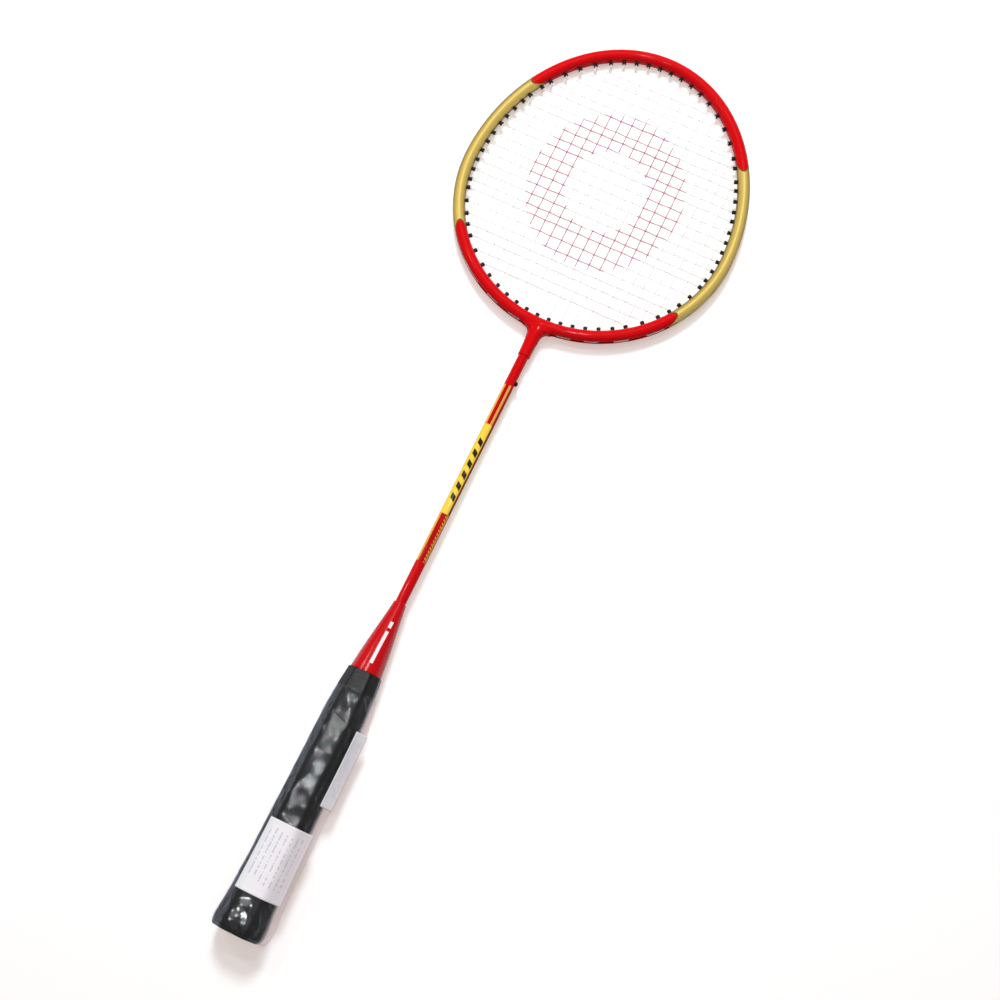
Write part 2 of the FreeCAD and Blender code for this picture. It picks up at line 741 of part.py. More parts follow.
def make_cone():
    body = new_body("cone")
    sketch = body_sketch(body, "cone_sketch", "XY_Plane")
    bore_radius = "(dims.shaft_diameter + dims.shaft_gap) / 2"
    neck_radius = "(dims.neck_diameter + dims.shaft_gap) / 2"
    base = "dims.cone_base_diameter / 2"
    tip = "dims.cone_tip_diameter / 2"
    length = "(dims.cone_end - dims.cone_shoulder)"
    rise = "(%s - %s)" % (base, tip)
    polygon(sketch, (
        (neck_radius, "dims.cone_start"),
        ("dims.cone_root_diameter / 2", "dims.cone_start"),
        ("dims.cone_root_diameter / 2", "dims.cone_shoulder + 0.1"),
        (base, "dims.cone_shoulder + 0.1"),
        ("%s - 0.09 * %s" % (base, rise), "dims.cone_shoulder + 0.13 * %s" % length),
        ("%s + 0.09 * %s" % (tip, rise), "dims.cone_end - 0.11 * %s" % length),
        (tip, "dims.cone_end - 1.5"),
        ("%s - 0.5" % tip, "dims.cone_end"),
        (bore_radius, "dims.cone_end"),
        (bore_radius, "dims.neck_end + 5"),
        (neck_radius, "dims.neck_end + 0.5"),
    ))
    turn = body.newObject("PartDesign::Revolution", "cone_turned")
    turn.Profile = sketch
    turn.ReferenceAxis = (sketch, ["V_Axis"])
    turn.Angle = 360
    return body


def make_handle():
    body = new_body("handle")
    octagon_loft(body, "handle_blank", "PartDesign::AdditiveLoft",
                 [name for name, *_ in GRIP_STATIONS[:-1]], "-dims.tape_thickness")
    neck = body_sketch(body, "neck_sketch", "XZ_Plane", "dims.grip_shoulder_station - 1")
    circle(neck, "dims.neck_diameter")
    pad(body, "handle_neck", neck, "dims.neck_end - dims.grip_shoulder_station + 1")
    bore(body, "handle_bore", "dims.neck_end", "dims.shaft_diameter + dims.shaft_gap",
         "dims.neck_end - dims.shaft_start + 1")
    return body


def make_grip_tape():
    body = new_body("grip_tape")
    names = [name for name, *_ in GRIP_STATIONS]
    octagon_loft(body, "tape_outside", "PartDesign::AdditiveLoft", names, "0 * dims.lap_gap")
    doc.recompute()
    inner = "dims.lap_gap - dims.tape_thickness"
    octagon_loft(body, "tape_inside", "PartDesign::SubtractiveLoft", names[:-1], inner)
    doc.recompute()
    root = body_sketch(body, "tape_root_sketch", "XZ_Plane", "dims.grip_top_station + 0.5")
    circle(root, "dims.cone_root_diameter + 2 * dims.lap_gap")
    sleeve = body.newObject("PartDesign::Pocket", "tape_root")
    sleeve.Profile = root
    sleeve.Reversed = True
    bind(sleeve, Length="dims.grip_top_station - dims.cone_start + 1")
    return body


def make_closing_tape():
    """A short band over the grip tape's top end."""
    body = new_body("closing_tape")
    octagon_loft(body, "band_outside", "PartDesign::AdditiveLoft", ("shoulder", "top"),
                 "dims.lap_gap + dims.closing_thickness")
    doc.recompute()
    octagon_loft(body, "band_inside", "PartDesign::SubtractiveLoft", ("shoulder", "top"), "dims.lap_gap")
    return body


def finned_octagon(station, growth, edge):
    """The grip's octagon, grown, with the sleeve's flat fin on its right side."""
    width = "dims.grip_%s_width" % station
    corners = octagon("%s + 2 * (%s)" % (width, growth), "dims.grip_%s_depth + 2 * (%s)" % (station, growth))
    fin = "%s / 2 + dims.fin_reach + %s" % (width, edge)
    return corners[:2] + ((fin, edge), (fin, "-" + edge)) + corners[2:]


def make_grip_film():
    """A clear sleeve that was pressed flat, so it stands off the grip in a fin on the right."""
    body = new_body("grip_film")
    for name, kind, growth, edge in (
            ("film_outside", "PartDesign::AdditiveLoft", "dims.film_gap + dims.film_thickness", "dims.fin_edge"),
            ("film_inside", "PartDesign::SubtractiveLoft", "dims.film_gap", "dims.fin_edge / 4")):
        sketches = []
        for station, *_ in GRIP_STATIONS[:-1]:
            sketch = body_sketch(body, "%s_%s" % (name, station), "XZ_Plane", "dims.grip_%s_station" % station)
            polygon(sketch, finned_octagon(station, growth, edge))
            sketches.append(sketch)
        loft(body, name, kind, sketches)
        doc.recompute()
    return body


def make_butt_cap():
    body = new_body("butt_cap")
    sketches = []
    for name, station, inset in (("rim", "dims.cap_thickness - 0.05", "0 * dims.lap_gap"),
                                 ("edge", "dims.cap_thickness / 2", "0.2"),
                                 ("face", "0 * dims.lap_gap", "1.6")):
        sketch = body_sketch(body, "cap_" + name, "XZ_Plane", station)
        polygon(sketch, octagon("dims.grip_butt_width - 2 * (%s)" % inset,
                                "dims.grip_butt_depth - 2 * (%s)" % inset))
        sketches.append(sketch)
    loft(body, "cap_blank", "PartDesign::AdditiveLoft", sketches)
    return body


def staple_shape(gap):
    """Both staples: a crown across and two legs into the wood, set along Z."""
    radius = dim("staple_wire") / 2 + gap
    depth = dim("staple_wire") / 2 + 0.15
    half_crown = dim("staple_crown") / 2
    staples = []
    for side in (-1, 1):
        height = side * dim("staple_spacing") / 2
        crown = Part.makeCylinder(radius, 2 * half_crown, Vector(-half_crown, depth, height), Vector(1, 0, 0))
        staple = crown
        for end in (-half_crown, half_crown):
            foot = Vector(end, depth, height)
            leg = Part.makeCylinder(radius, dim("staple_leg") + gap, foot, Vector(0, 1, 0))
            staple = staple.fuse([leg, Part.makeSphere(radius, foot)])
        staples.append(staple.removeSplitter())
    return Part.makeCompound(staples)


def drilled_for_staples(name, blank):
    """The blank body minus room for the staples."""
    tool = shape_feature(name + "_staple_room", staple_shape(0.05))
    blank.Label = name + "_blank"
    return cut(name, blank, [tool])


def label_outline(width, depth, grow):
    """A strip over half the left bevel, the top, the right bevel and some of the fin: outside, then inside."""
    corner = "dims.corner_ratio * (%s)" % depth

    def edge(growth):
        half_width = "((%s) / 2 + (%s))" % (width, growth)
        half_depth = "((%s) / 2 + (%s))" % (depth, growth)
        cut_length = "(%s + 0.586 * (%s))" % (corner, growth)
        inner_width = "(%s - %s)" % (half_width, cut_length)
        return [
            ("%s + dims.label_reach" % half_width, "%s - %s - dims.label_reach" % (half_depth, cut_length)),
            (inner_width, half_depth),
            ("-" + inner_width, half_depth),
            ("-(%s + %s / 2)" % (inner_width, cut_length), "%s - %s / 2" % (half_depth, cut_length)),
        ]

    return edge(grow) + edge("0 * dims.lap_gap")[::-1]


def make_front_label():
    body = new_body("front_label")
    sketches = []
    for name, station, place in (("lower", "dims.label_start", "lower"), ("upper", "dims.label_end", "upper")):
        sketch = body_sketch(body, "label_" + name, "XZ_Plane", station)
        polygon(sketch, label_outline("dims.label_%s_width" % place, "dims.label_%s_depth" % place,
                                      "dims.label_thickness"))
        sketches.append(sketch)
    loft(body, "label_strip", "PartDesign::AdditiveLoft", sketches)
    return body


def make_side_label():
    """A flat strip along the sleeve's right side, over the end of the bevel and the top of the fin."""
    strip = doc.addObject("Part::Box", "side_label")
    bind(strip, Length="dims.side_label_width", Width="dims.side_label_length", Height="dims.label_thickness")
    growth = dim("film_gap") + dim("film_thickness") + 0.1
    half_width = dim("grip_hand_width") / 2 + growth
    half_depth = dim("grip_hand_depth") / 2 + growth
    corner_height = half_depth * (1 - 2 * dim("corner_ratio"))
    overlap = dim("side_label_overlap")
    start = Vector(half_width - overlap, dim("side_label_start"), corner_height + overlap)
    strip.Placement = Placement(start, Rotation(Vector(0, 1, 0), 45))
    strip.Label = "side_label"
    return strip


# ---------------------------------------------------------------- assembly

def make_strings_and_grommets(holes):
    height = string_height()
    main_ties = (neighbour_tie(holes, ("main", -MAIN_PAIRS, "top"), "cross"),
                 neighbour_tie(holes, ("main", MAIN_PAIRS - 1, "top"), "cross"))
    cross_ties = (neighbour_tie(holes, ("cross", 0, "right"), "main"),
                  neighbour_tie(holes, ("cross", CROSSES - 1, "left"), "main"))
    parts = [
        make_string("main_string", main_stops(holes), main_ties, height),
        make_string("cross_string", cross_stops(holes), cross_ties, -height),
        make_knots([(tie, height) for tie in main_ties] + [(tie, -height) for tie in cross_ties]),
    ]
    for name, group in sort_grommets(holes, main_ties + cross_ties).items():
        parts.append(make_grommets(name, group))
    return parts


def make_parts():
    holes = all_holes()
    parts = [
        make_head_frame(holes),
        make_t_joint(holes),
        make_stem_pin(),
        make_shaft(),
        make_cone(),
        drilled_for_staples("handle", make_handle()),
        drilled_for_staples("butt_cap", make_butt_cap()),
        shape_feature("butt_staples", staple_shape(0.0)),
        make_grip_tape(),
        make_closing_tape(),
        make_grip_film(),
        make_front_label(),
        make_side_label(),
    ]
    return parts + make_strings_and_grommets(holes)


def check_document(parts):
    for obj in doc.Objects:
        if "Invalid" in obj.State or "Error" in obj.State:
            raise RuntimeError("%s failed: %s" % (obj.Label, obj.State))
    for part in parts:
        if part.Shape.isNull() or not part.Shape.isValid() or not part.Shape.Solids:
            raise RuntimeError("%s has no valid solid" % part.Label)


def write_parts(parts):
    os.makedirs("parts", exist_ok=True)
    for part in parts:
        part.Shape.exportStep(os.path.join("parts", part.Label + ".step"))
        box = part.Shape.BoundBox
        print("%-18s %3d solid(s) %10.1f mm3  X %.1f..%.1f  Y %.1f..%.1f  Z %.1f..%.1f" % (
            part.Label, len(part.Shape.Solids), part.Shape.Volume,
            box.XMin, box.XMax, box.YMin, box.YMax, box.ZMin, box.ZMax))


fill_sheet()
made = make_parts()
doc.recompute()
check_document(made)
write_parts(made)
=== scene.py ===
"""Badminton racket: finishes and fine pieces of a strung racket, built round its packed construction.

Frame: metres, origin at the centre of the butt end, +Y along the axis to the hoop's tip,
+X across the string bed, +Z square to it. The string bed lies in the plane Z = 0.
"""
import functools
import itertools
import math

import bmesh
import bpy
import numpy as np
from bpy.props import FloatProperty, FloatVectorProperty, PointerProperty
from mathutils import Matrix, Vector, noise


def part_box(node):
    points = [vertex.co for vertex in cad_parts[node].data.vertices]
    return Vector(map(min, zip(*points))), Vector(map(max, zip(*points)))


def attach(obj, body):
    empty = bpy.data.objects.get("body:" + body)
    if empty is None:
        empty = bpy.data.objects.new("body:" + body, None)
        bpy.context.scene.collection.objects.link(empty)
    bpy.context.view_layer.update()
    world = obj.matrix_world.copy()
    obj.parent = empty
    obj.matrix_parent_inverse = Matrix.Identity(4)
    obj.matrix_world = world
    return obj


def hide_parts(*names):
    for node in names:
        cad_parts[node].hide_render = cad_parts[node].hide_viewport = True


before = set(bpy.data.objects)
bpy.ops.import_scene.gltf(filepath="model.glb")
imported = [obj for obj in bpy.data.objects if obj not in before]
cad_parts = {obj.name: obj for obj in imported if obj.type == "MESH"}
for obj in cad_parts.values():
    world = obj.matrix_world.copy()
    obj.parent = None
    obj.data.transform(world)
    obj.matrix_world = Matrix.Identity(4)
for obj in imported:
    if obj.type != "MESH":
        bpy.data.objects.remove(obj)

bl_info = {
    "name": "Badminton racket",
    "version": (1, 0, 0),
    "blender": (4, 5, 0),
    "location": "View3D > Sidebar > Racket",
    "description": "Builds the finishes and the fine pieces of a strung badminton racket",
    "category": "Object",
}

bpy.context.view_layer.update()
MM = 0.001
MAIN_PAIRS = 11
CROSSES = 23
TUBE_SIDES = 8
CORNER_RATIO = 0.27
CORNER_SHARPNESS = 34.0
FIN_DROOP = -1.2 * MM
BAND_MIDDLE = 550 * MM
WHITE_PRINT = (0.88, 0.87, 0.86)

CAMERA_PLACE = (0.1305, 0.0881, 0.9221)
CAMERA_VIEW = (-0.1063, 0.2409, -0.9647)
CAMERA_LENS = 51.84
CAMERA_SENSOR = 36.0
HEAD_AIM = (0, 0.55, 0)
MIDDLE_AIM = (0, 0.35, 0)
GRIP_AIM = (0, 0.12, 0)
FLOOR_HALF = 12.0

# Grip stations in millimetres: distance from the butt, width (X), depth (Z).
GRIP_STATIONS = (
    (2.0, 31.8, 29.4),
    (5.5, 33.2, 30.8),
    (22.0, 30.2, 27.8),
    (45.0, 28.7, 26.4),
    (85.0, 27.6, 25.3),
    (148.0, 26.6, 24.4),
    (163.0, 24.6, 23.2),
    (177.0, 21.7, 21.6),
)


# ---------------------------------------------------------------- properties

def length(name, description, millimetres):
    return FloatProperty(name=name, description=description, default=millimetres * MM,
                         min=0.0, precision=5, unit="LENGTH")


def angle(name, description, degrees):
    return FloatProperty(name=name, description=description, default=math.radians(degrees),
                         subtype="ANGLE", unit="ROTATION")


def colour(name, description, red, green, blue):
    return FloatVectorProperty(name=name, description=description, default=(red, green, blue),
                               size=3, min=0.0, max=1.0, subtype="COLOR")


class RacketSizes(bpy.types.PropertyGroup):
    """Sizes of the racket's pieces."""
    head_length: length("Head length", "Hoop along the axis, over the tube", 231.5)
    head_widest: length("Head's widest place", "From the butt", 541.5)
    tube_width: length("Tube width", "Hoop tube in the string plane", 9.0)
    tube_depth: length("Tube depth", "Hoop tube square to the string plane", 10.4)
    groove_depth: length("Groove depth", "String groove round the outside", 1.7)
    groove_floor: length("Groove floor", "Width of the groove's flat floor", 3.3)
    groove_mouth: length("Groove mouth", "Width of the groove at the tube's surface", 3.85)
    lip_radius: length("Lip radius", "Rounding of the groove's lips", 0.45)
    joint_angle: angle("Joint angle", "Half the T-joint's bar, as an angle of the hoop", 10.3)
    peg_length: length("Peg length", "T-joint's peg below its stem, inside the shaft", 27.0)
    stem_width: length("Stem width", "Width of the T-joint's stem at its lower end", 8.6)
    web_radius: length("Web radius", "Fillet between the stem and the bar", 5.5)
    string_diameter: length("String diameter", "Main and cross string", 0.66)
    string_offset: length("String offset", "String's distance from the bed's plane in a grommet", 0.38)
    string_bend: length("String bend", "How far a string's bend reaches along each leg", 0.8)
    main_pitch: length("Main pitch", "From one main string to the next", 8.35)
    cross_pitch: length("Cross pitch", "From one cross string to the next", 7.9)
    cross_middle: length("Cross middle", "Middle cross string, from the butt", 554.0)
    share_distance: length("Share distance", "String ends closer than this share a grommet", 4.0)
    grommet_diameter: length("Grommet diameter", "Barrel of a grommet", 2.7)
    grommet_bore: length("Grommet bore", "Bore of a grommet", 1.56)
    grommet_tip: length("Grommet tip", "Barrel of a grommet inside the hoop", 2.3)
    flange_diameter: length("Flange diameter", "Flange of a grommet", 3.25)
    flange_thickness: length("Flange thickness", "Flange of a grommet", 0.6)
    wide_extra: length("Wide extra", "A shared grommet is wider by this much", 0.2)
    lap_pitch: length("Lap pitch", "Grip tape, from one turn to the next", 23.0)
    lap_height: length("Lap height", "Grip tape, step at the edge of a turn", 0.28)
    fin_reach: length("Fin reach", "How far the film sleeve's fin stands out on the right", 5.5)
    film_thickness: length("Film thickness", "Film sleeve", 0.15)
    label_gap: length("Label gap", "From the grip to the inside of the front label", 0.9)
    label_reach: length("Label reach", "How far the front label runs out over the fin", 2.2)
    label_thickness: length("Label thickness", "Both paper labels", 0.2)
    ring_inner: length("Ink ring, inside", "Inner half length of the ink ring on the strings", 32.0)
    ring_outer: length("Ink ring, outside", "Outer half length of the ink ring on the strings", 62.0)
    band_start: angle("Band start", "Lower end of a gold band, as an angle from the bed's middle", -39.3)
    band_end: angle("Band end", "Upper end of a gold band, as an angle from the bed's middle", 37.8)


class RacketColours(bpy.types.PropertyGroup):
    """Colours of the racket's finishes."""
    hoop_red: colour("Hoop red", "Lacquer of the hoop and the T-joint", 0.62, 0.004, 0.006)
    gold: colour("Gold", "Bands on the hoop", 1.0, 0.70, 0.19)
    # Painted shade: the hoop's gold bands darken towards this colour where they are seen at a slant.
    gold_painted_shade: colour("Gold in painted shade", "Painted shade on the hoop's gold bands, where they are seen at a slant", 0.20, 0.11, 0.015)
    line_gold: colour("Line gold", "Lines on the shaft", 0.95, 0.50, 0.10)
    shaft_red: colour("Shaft red", "Lacquer of the shaft", 0.44, 0.004, 0.004)
    shaft_yellow: colour("Shaft yellow", "Panel on the shaft", 0.90, 0.62, 0.07)
    cone_red: colour("Cone red", "Moulded cone", 0.58, 0.004, 0.008)
    grip_black: colour("Grip black", "Grip tape", 0.013, 0.013, 0.014)
    cap_black: colour("Cap black", "Butt cap and closing tape", 0.012, 0.012, 0.013)
    nylon_black: colour("Nylon black", "Grommets and pin", 0.010, 0.010, 0.012)
    string_white: colour("String white", "Strings", 0.86, 0.86, 0.84)
    ink: colour("Ink", "Ring of ink on the strings", 0.45, 0.005, 0.10)
    paper: colour("Paper", "Labels", 0.90, 0.90, 0.93)
    wood: colour("Wood", "Handle", 0.55, 0.33, 0.16)
    steel: colour("Steel", "Butt staples", 0.55, 0.55, 0.56)
    floor: colour("Floor", "Plain floor", 0.62, 0.70, 0.74)
    floor_glow: colour("Floor glow", "Adds to the floor, so it is white where it is lit", 0.48, 0.38, 0.34)


def sizes():
    return bpy.context.scene.racket_sizes


def colours():
    return bpy.context.scene.racket_colours


# ---------------------------------------------------------------- hoop geometry

@functools.cache
def box(node):
    """Lowest and highest corner of a piece of the construction."""
    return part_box(node)


@functools.cache
def hoop_radii():
    """Half width of the tube's centre line, its reach above and its reach below the widest place."""
    high = box("head_frame")[1]
    half_tube = sizes().tube_width / 2
    lip = half_tube * math.sqrt(1 - (sizes().groove_mouth / sizes().tube_depth) ** 2)
    upper = high.y - lip - sizes().head_widest
    lower = sizes().head_length - 2 * half_tube - upper
    return high.x - lip, upper, lower


def hoop_normal(turn):
    across, upper, lower = hoop_radii()
    along = upper if math.sin(turn) > 0 else lower
    return Vector((math.cos(turn) / across, math.sin(turn) / along, 0)).normalized()


def hoop_point(turn, outward=0.0, height=0.0):
    """A point off the tube's centre line, at an angle from +X on the half ellipse it falls in."""
    across, upper, lower = hoop_radii()
    along = upper if math.sin(turn) > 0 else lower
    base = Vector((across * math.cos(turn), sizes().head_widest + along * math.sin(turn), height))
    return base + hoop_normal(turn) * outward


def hoop_place(turn):
    """A matrix at a hoop angle whose x axis is outward and whose z axis is +Z."""
    normal = hoop_normal(turn)
    tangent = Vector((0, 0, 1)).cross(normal)
    turned = Matrix((normal, tangent, (0, 0, 1))).transposed()
    return Matrix.Translation(hoop_point(turn)) @ turned.to_4x4()


# ---------------------------------------------------------------- mesh helpers

def make_piece(name, points, faces, material, sharp=35):
    """A closed, smooth-shaded mesh object with its normals outward."""
    mesh = bpy.data.meshes.new(name)
    shell = bmesh.new()
    mesh.from_pydata([tuple(point) for point in points], [], [tuple(face) for face in faces])
    shell.from_mesh(mesh)
    bmesh.ops.recalc_face_normals(shell, faces=shell.faces)
    shell.to_mesh(mesh)
    shell.free()
    mesh.shade_smooth()
    mesh.set_sharp_from_angle(angle=math.radians(sharp))
    mesh.materials.append(material)
    piece = bpy.data.objects.new(name, mesh)
    bpy.context.scene.collection.objects.link(piece)
    return piece


def stand_for(piece, slot, *nodes):
    """The piece takes the place of its solids in the construction."""
    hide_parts(*nodes)
    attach(piece, "root")
    return piece


def coat(node, material):
    """Gives a piece of the construction its finish."""
    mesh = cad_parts[node].data
    mesh.materials.clear()
    mesh.materials.append(material)


def ring_faces(rows, columns, closed=False):
    """Quads between successive closed rings of points; closed joins the last ring to the first."""
    faces = []
    for row in range(rows if closed else rows - 1):
        below = row * columns
        above = (row + 1) % rows * columns
        for column in range(columns):
            following = (column + 1) % columns
            faces.append((below + column, below + following, above + following, above + column))
    return faces


def capped_faces(rows, columns):
    """Quads between successive closed rings, with the first and last rings filled."""
    last = (rows - 1) * columns
    ends = [tuple(range(columns)), tuple(range(last + columns - 1, last - 1, -1))]
    return ring_faces(rows, columns) + ends


def joined(parts):
    """Several (points, faces) as one."""
    points = []
    faces = []
    for part_points, part_faces in parts:
        first = len(points)
        points += part_points
        faces += [[first + corner for corner in face] for face in part_faces]
    return points, faces


def rounded(points, reach, closed=False, steps=4):
    """A polyline whose sharp corners are short curves."""
    points = [Vector(point) for point in points]
    smooth = []
    for k, corner in enumerate(points):
        before = points[k - 1] - corner
        after = points[(k + 1) % len(points)] - corner
        at_end = not closed and k in (0, len(points) - 1)
        if at_end or before.angle(after) > math.radians(168):
            smooth.append(corner)
            continue
        start = corner + before.normalized() * min(reach, 0.45 * before.length)
        end = corner + after.normalized() * min(reach, 0.45 * after.length)
        for step in range(steps + 1):
            share = step / steps
            smooth.append(start * (1 - share) ** 2 + corner * 2 * share * (1 - share) + end * share ** 2)
    return smooth


def ring_round(point, direction, side, radius):
    """A ring of points round a place on a path; side is square to the path's direction."""
    up = direction.cross(side)
    turns = [2 * math.pi * step / TUBE_SIDES for step in range(TUBE_SIDES)]
    return [point + (side * math.cos(turn) + up * math.sin(turn)) * radius for turn in turns]


def tube(points, radius):
    """A round tube along a path, turned as little as possible from one ring to the next."""
    rings = []
    side = (points[1] - points[0]).orthogonal()
    for k, point in enumerate(points):
        direction = (points[min(k + 1, len(points) - 1)] - points[max(k - 1, 0)]).normalized()
        side = (side - direction * side.dot(direction)).normalized()
        rings += ring_round(point, direction, side, radius)
    return rings, capped_faces(len(points), TUBE_SIDES)


def turned(profile, segments, place):
    """A closed profile of (distance along, radius) turned about +X, then moved by a matrix."""
    rings = []
    for distance, radius in profile:
        for step in range(segments):
            turn = 2 * math.pi * step / segments
            rings.append(place @ Vector((distance, radius * math.cos(turn), radius * math.sin(turn))))
    return rings, ring_faces(len(profile), segments, closed=True)


def smooth_min(first, second, blend):
    share = np.clip(0.5 + 0.5 * (second - first) / blend, 0, 1)
    return second * (1 - share) + first * share - blend * share * (1 - share)


def smooth_max(first, second, blend):
    return -smooth_min(-first, -second, blend)


def net_surface(field, low, high, step):
    """A closed quad mesh of where a field is zero: a vertex in each crossed cell, drawn on to the surface."""
    axes = [np.arange(start, end, step) for start, end in zip(low, high)]
    inside = field(np.stack(np.meshgrid(*axes, indexing="ij"), axis=-1)) < 0
    cells = np.zeros([count - 1 for count in inside.shape], int)
    for shift in itertools.product((0, 1), repeat=3):
        cells += inside[tuple(slice(s, s + count) for s, count in zip(shift, cells.shape))]
    crossed = (cells > 0) & (cells < 8)
    number = np.cumsum(crossed).reshape(crossed.shape) - 1
    points = np.array(low) + (np.argwhere(crossed) + 0.5) * step
    faces = []
    for axis in range(3):
        ends = np.moveaxis(inside, axis, 0)
        edges = np.argwhere(np.moveaxis(ends[1:] != ends[:-1], 0, axis))
        quad = []
        for first, second in ((0, 0), (1, 0), (1, 1), (0, 1)):
            cell = edges.copy()
            cell[:, (axis + 1) % 3] -= first
            cell[:, (axis + 2) % 3] -= second
            quad.append(number[tuple(cell.T)])
        faces.append(np.stack(quad, axis=1))
    faces = np.concatenate(faces)
    for _ in range(6):
        points = relaxed(points, faces)
        for _ in range(2):
            points = drawn_on(field, points, step * 0.1)
    return points, faces


def relaxed(points, faces):
    """Each vertex half way to the mean of its faces' middles."""
    middles = points[faces].mean(axis=1)
    total = np.zeros_like(points)
    count = np.zeros((len(points), 1))
    for corner in range(4):
        np.add.at(total, faces[:, corner], middles)
        np.add.at(count, faces[:, corner], 1)
    return (points + total / count) / 2


def drawn_on(field, points, reach):
    """One step of each point towards where the field is zero."""
    slope = np.zeros_like(points)
    for axis in range(3):
        offset = np.zeros(3)
        offset[axis] = reach
        slope[:, axis] = (field(points + offset) - field(points - offset)) / (2 * reach)
    steepness = np.maximum((slope ** 2).sum(axis=1), 0.05)
    return points - slope * (field(points) / steepness)[:, None]


# ---------------------------------------------------------------- node helpers

class Finish:
    """One material and short calls for the nodes behind its shader."""

    def __init__(self, name, rough=0.5, metal=0.0, specular=0.5):
        self.material = bpy.data.materials.new(name)
        self.material.use_nodes = True
        self.tree = self.material.node_tree
        self.shader = self.tree.nodes["Principled BSDF"]
        self.set("Roughness", rough)
        self.set("Metallic", metal)
        self.set("Specular IOR Level", specular)

    def feed(self, socket, value):
        if isinstance(value, bpy.types.NodeSocket):
            self.tree.links.new(value, socket)
        elif isinstance(socket.default_value, float):
            socket.default_value = value
        else:
            values = tuple(value)
            socket.default_value = values + (1.0,) * (len(socket.default_value) - len(values))

    def set(self, name, value):
        self.feed(self.shader.inputs[name], value)

    def node(self, kind, feeds=(), **settings):
        made = self.tree.nodes.new("ShaderNode" + kind)
        for name, value in settings.items():
            setattr(made, name, value)
        for name, value in dict(feeds).items():
            self.feed(made.inputs[name], value)
        return made

    def place(self):
        """Position in the racket's frame, as three sockets."""
        coordinates = self.node("TexCoord").outputs["Object"]
        return self.node("SeparateXYZ", {0: coordinates}).outputs

    def uv(self):
        coordinates = self.node("TexCoord").outputs["UV"]
        return self.node("SeparateXYZ", {0: coordinates}).outputs

    def math(self, operation, first, second=0.0, third=0.0):
        return self.node("Math", {0: first, 1: second, 2: third}, operation=operation).outputs[0]

    def step(self, value, start, end):
        """Smoothly 0 to 1 as the value goes from start to end."""
        ends = {"Value": value, "From Min": start, "From Max": end}
        return self.node("MapRange", ends, interpolation_type="SMOOTHSTEP").outputs[0]

    def band(self, value, start, end, edge):
        """1 between start and end and 0 outside, with soft edges."""
        rise = self.step(value, start - edge, start + edge)
        fall = self.step(value, end - edge, end + edge)
        return self.math("MULTIPLY", rise, self.math("SUBTRACT", 1.0, fall))

    def times(self, *values):
        product = values[0]
        for value in values[1:]:
            product = self.math("MULTIPLY", product, value)
        return product

    def either(self, *values):
        most = values[0]
        for value in values[1:]:
            most = self.math("MAXIMUM", most, value)
        return most

    def mix(self, share, first, second):
        made = self.tree.nodes.new("ShaderNodeMix")
        made.data_type = "RGBA"
        self.feed(made.inputs[0], share)
        self.feed(made.inputs[6], first)
        self.feed(made.inputs[7], second)
        return made.outputs[2]

    def shades(self, share, base, low, high):
        """A colour from low times to high times its base as the share goes from 0 to 1."""
        first, second = ([min(1.0, factor * channel) for channel in base] for factor in (low, high))
        return self.mix(share, first, second)

    def grain(self, size, detail, stretch=(1, 1, 1)):
        """Noise whose features are about size metres, longer along an axis where stretch is over 1."""
        scale = tuple(1 / (size * factor) for factor in stretch)
        coordinates = self.node("TexCoord").outputs["Object"]
        mapped = self.node("Mapping", {"Vector": coordinates, "Scale": scale})
        return self.node("TexNoise", {"Vector": mapped.outputs[0], "Scale": 1.0, "Detail": detail}).outputs[0]

    def between(self, share, low, high):
        return self.node("MapRange", {"Value": share, "To Min": low, "To Max": high}).outputs[0]

    def bump(self, height, depth, strength):
        """A bump whose full height is depth metres."""
        feeds = {"Height": height, "Distance": depth, "Strength": strength}
        self.set("Normal", self.node("Bump", feeds).outputs[0])


def lacquer(name):
    """Glossy sprayed lacquer with a faint orange peel."""
    finish = Finish(name, specular=0.12)
    finish.set("Roughness", finish.between(finish.grain(12 * MM, 3.0), 0.06, 0.11))
    finish.bump(finish.grain(1.3 * MM, 1.0), 0.010 * MM, 0.5)
    return finish


def clouded(finish, size, base, low=0.92, high=1.08):
    """A colour that varies a little from place to place."""
    return finish.shades(finish.grain(size, 3.0), base, low, high)


# ---------------------------------------------------------------- finishes

